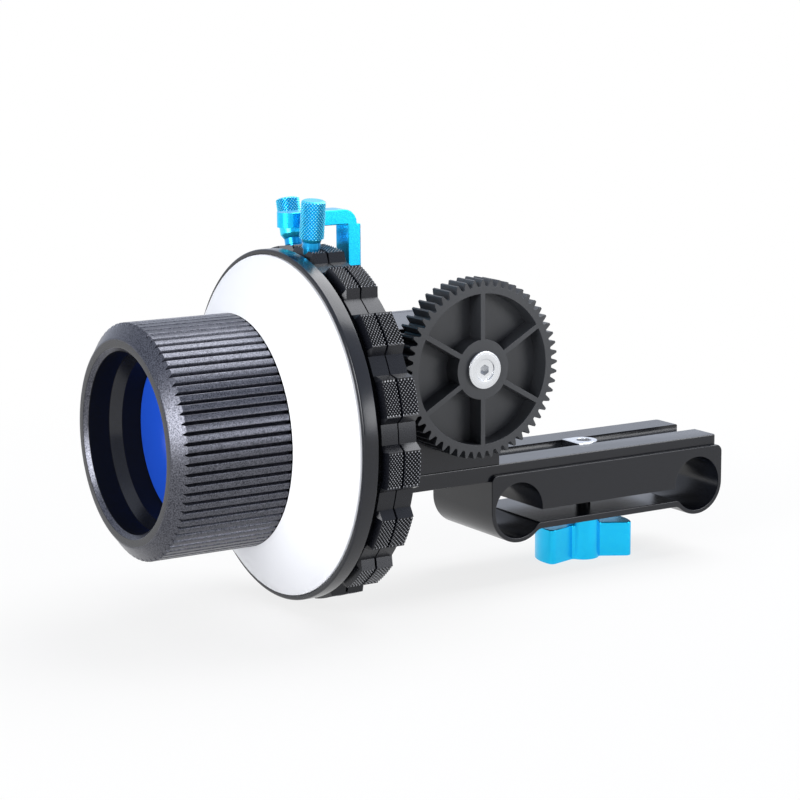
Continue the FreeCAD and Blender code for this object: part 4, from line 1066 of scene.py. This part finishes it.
def floor():
    """Pale floor with a soft shadow round the unit, and as white as the background further out."""
    material, tree, shader = new_material("floor_painted")
    shader.inputs["Base Color"].default_value = linear("#e6e6e6")
    shader.inputs["Roughness"].default_value = 0.9
    shader.inputs["Specular IOR Level"].default_value = 0.1
    place = add(tree, "TexCoord").outputs["Object"]
    reach = add(tree, "VectorMath", {0: place}, operation="LENGTH").outputs["Value"]
    plain = add(tree, "MapRange", {"Value": reach, "From Min": SHADOW_REACH[0],
                                   "From Max": SHADOW_REACH[1], "To Min": 0.8, "To Max": 1.0})
    white = add(tree, "Emission", {"Color": (1, 1, 1, 1), "Strength": 1.0})
    share = add(tree, "Math", {0: seen(tree, FLOOR_GLOSS), 1: plain.outputs[0]},
                operation="MULTIPLY")
    mix = add(tree, "MixShader", {0: share.outputs[0], 1: shader.outputs[0], 2: white.outputs[0]})
    tree.links.new(mix.outputs[0], tree.nodes["Material Output"].inputs["Surface"])
    mesh = bmesh.new()
    bmesh.ops.create_grid(mesh, x_segments=8, y_segments=8, size=FLOOR_WIDTH / 2)
    data = bpy.data.meshes.new("floor")
    mesh.to_mesh(data)
    mesh.free()
    data.materials.append(material)
    item = bpy.data.objects.new("floor", data)
    item.location.z = knob_low.z * MM
    scene.collection.objects.link(item)


def studio():
    scene.view_settings.view_transform = "Standard"
    world = bpy.data.worlds.new("studio")
    world.use_nodes = True
    tree = world.node_tree
    background = tree.nodes["Background"]
    shown = seen(tree, 0.0)
    # The room is white all round and dims only towards its open front.
    way = add(tree, "TexCoord").outputs["Generated"]
    front = add(tree, "VectorMath", {0: way, 1: ROOM_FRONT}, operation="DOT_PRODUCT")
    room = add(tree, "MapRange", {"Value": front.outputs["Value"], "From Min": 0.5,
                                  "From Max": 0.95, "To Min": 1.0, "To Max": ROOM_DIM})
    glossy = add(tree, "LightPath").outputs["Is Glossy Ray"]
    share = add(tree, "MapRange", {"Value": glossy, "To Min": WORLD_DIFFUSE, "To Max": 1.0})
    lit = add(tree, "Math", {0: room.outputs[0], 1: share.outputs[0]}, operation="MULTIPLY")
    level = add(tree, "MapRange", {"Value": shown, "To Min": lit.outputs[0], "To Max": 1.0})
    colour = add(tree, "Mix", {"Factor": shown}, data_type="RGBA")
    colour.inputs[6].default_value = linear("#e9f0ff")
    colour.inputs[7].default_value = (1, 1, 1, 1)
    tree.links.new(colour.outputs[2], background.inputs["Color"])
    tree.links.new(level.outputs[0], background.inputs["Strength"])
    scene.world = world
    lamp("key_lamp", (-0.9, -0.33, 0.27), width=0.5, height=0.5, power=8.5)
    lamp("fill_lamp", (0.5, -0.8, 0.2), width=0.4, height=0.25, power=1.8)
    lamp("top_lamp", (0.5, 0.15, 0.85), width=0.8, height=0.8, power=10)


def build():
    hand_wheel()
    wheel_disc()
    marking_ring()
    wheel_hub()
    stop_ring("stop_ring_a_knurled", "stop_ring_a", "ring_a", SCREW_A_ANGLE, 0.9)
    stop_ring("stop_ring_b_knurled", "stop_ring_b", "ring_b", SCREW_B_ANGLE, 0.3)
    thumbscrew("stop_screw_a_knurled", "stop_screw_a", "screw_a", SCREW_A_ANGLE, 0.0)
    thumbscrew("stop_screw_b_knurled", "stop_screw_b", "screw_b", SCREW_B_ANGLE, 4.2)
    stop_bracket()
    bracket_screws()
    drive_gear()
    gear_screw()
    gearbox()
    slide_bar()
    rod_clamp()
    t_nut()
    wing_knob()
    dress_kept_nodes()
    camera()
    floor()
    studio()


build()
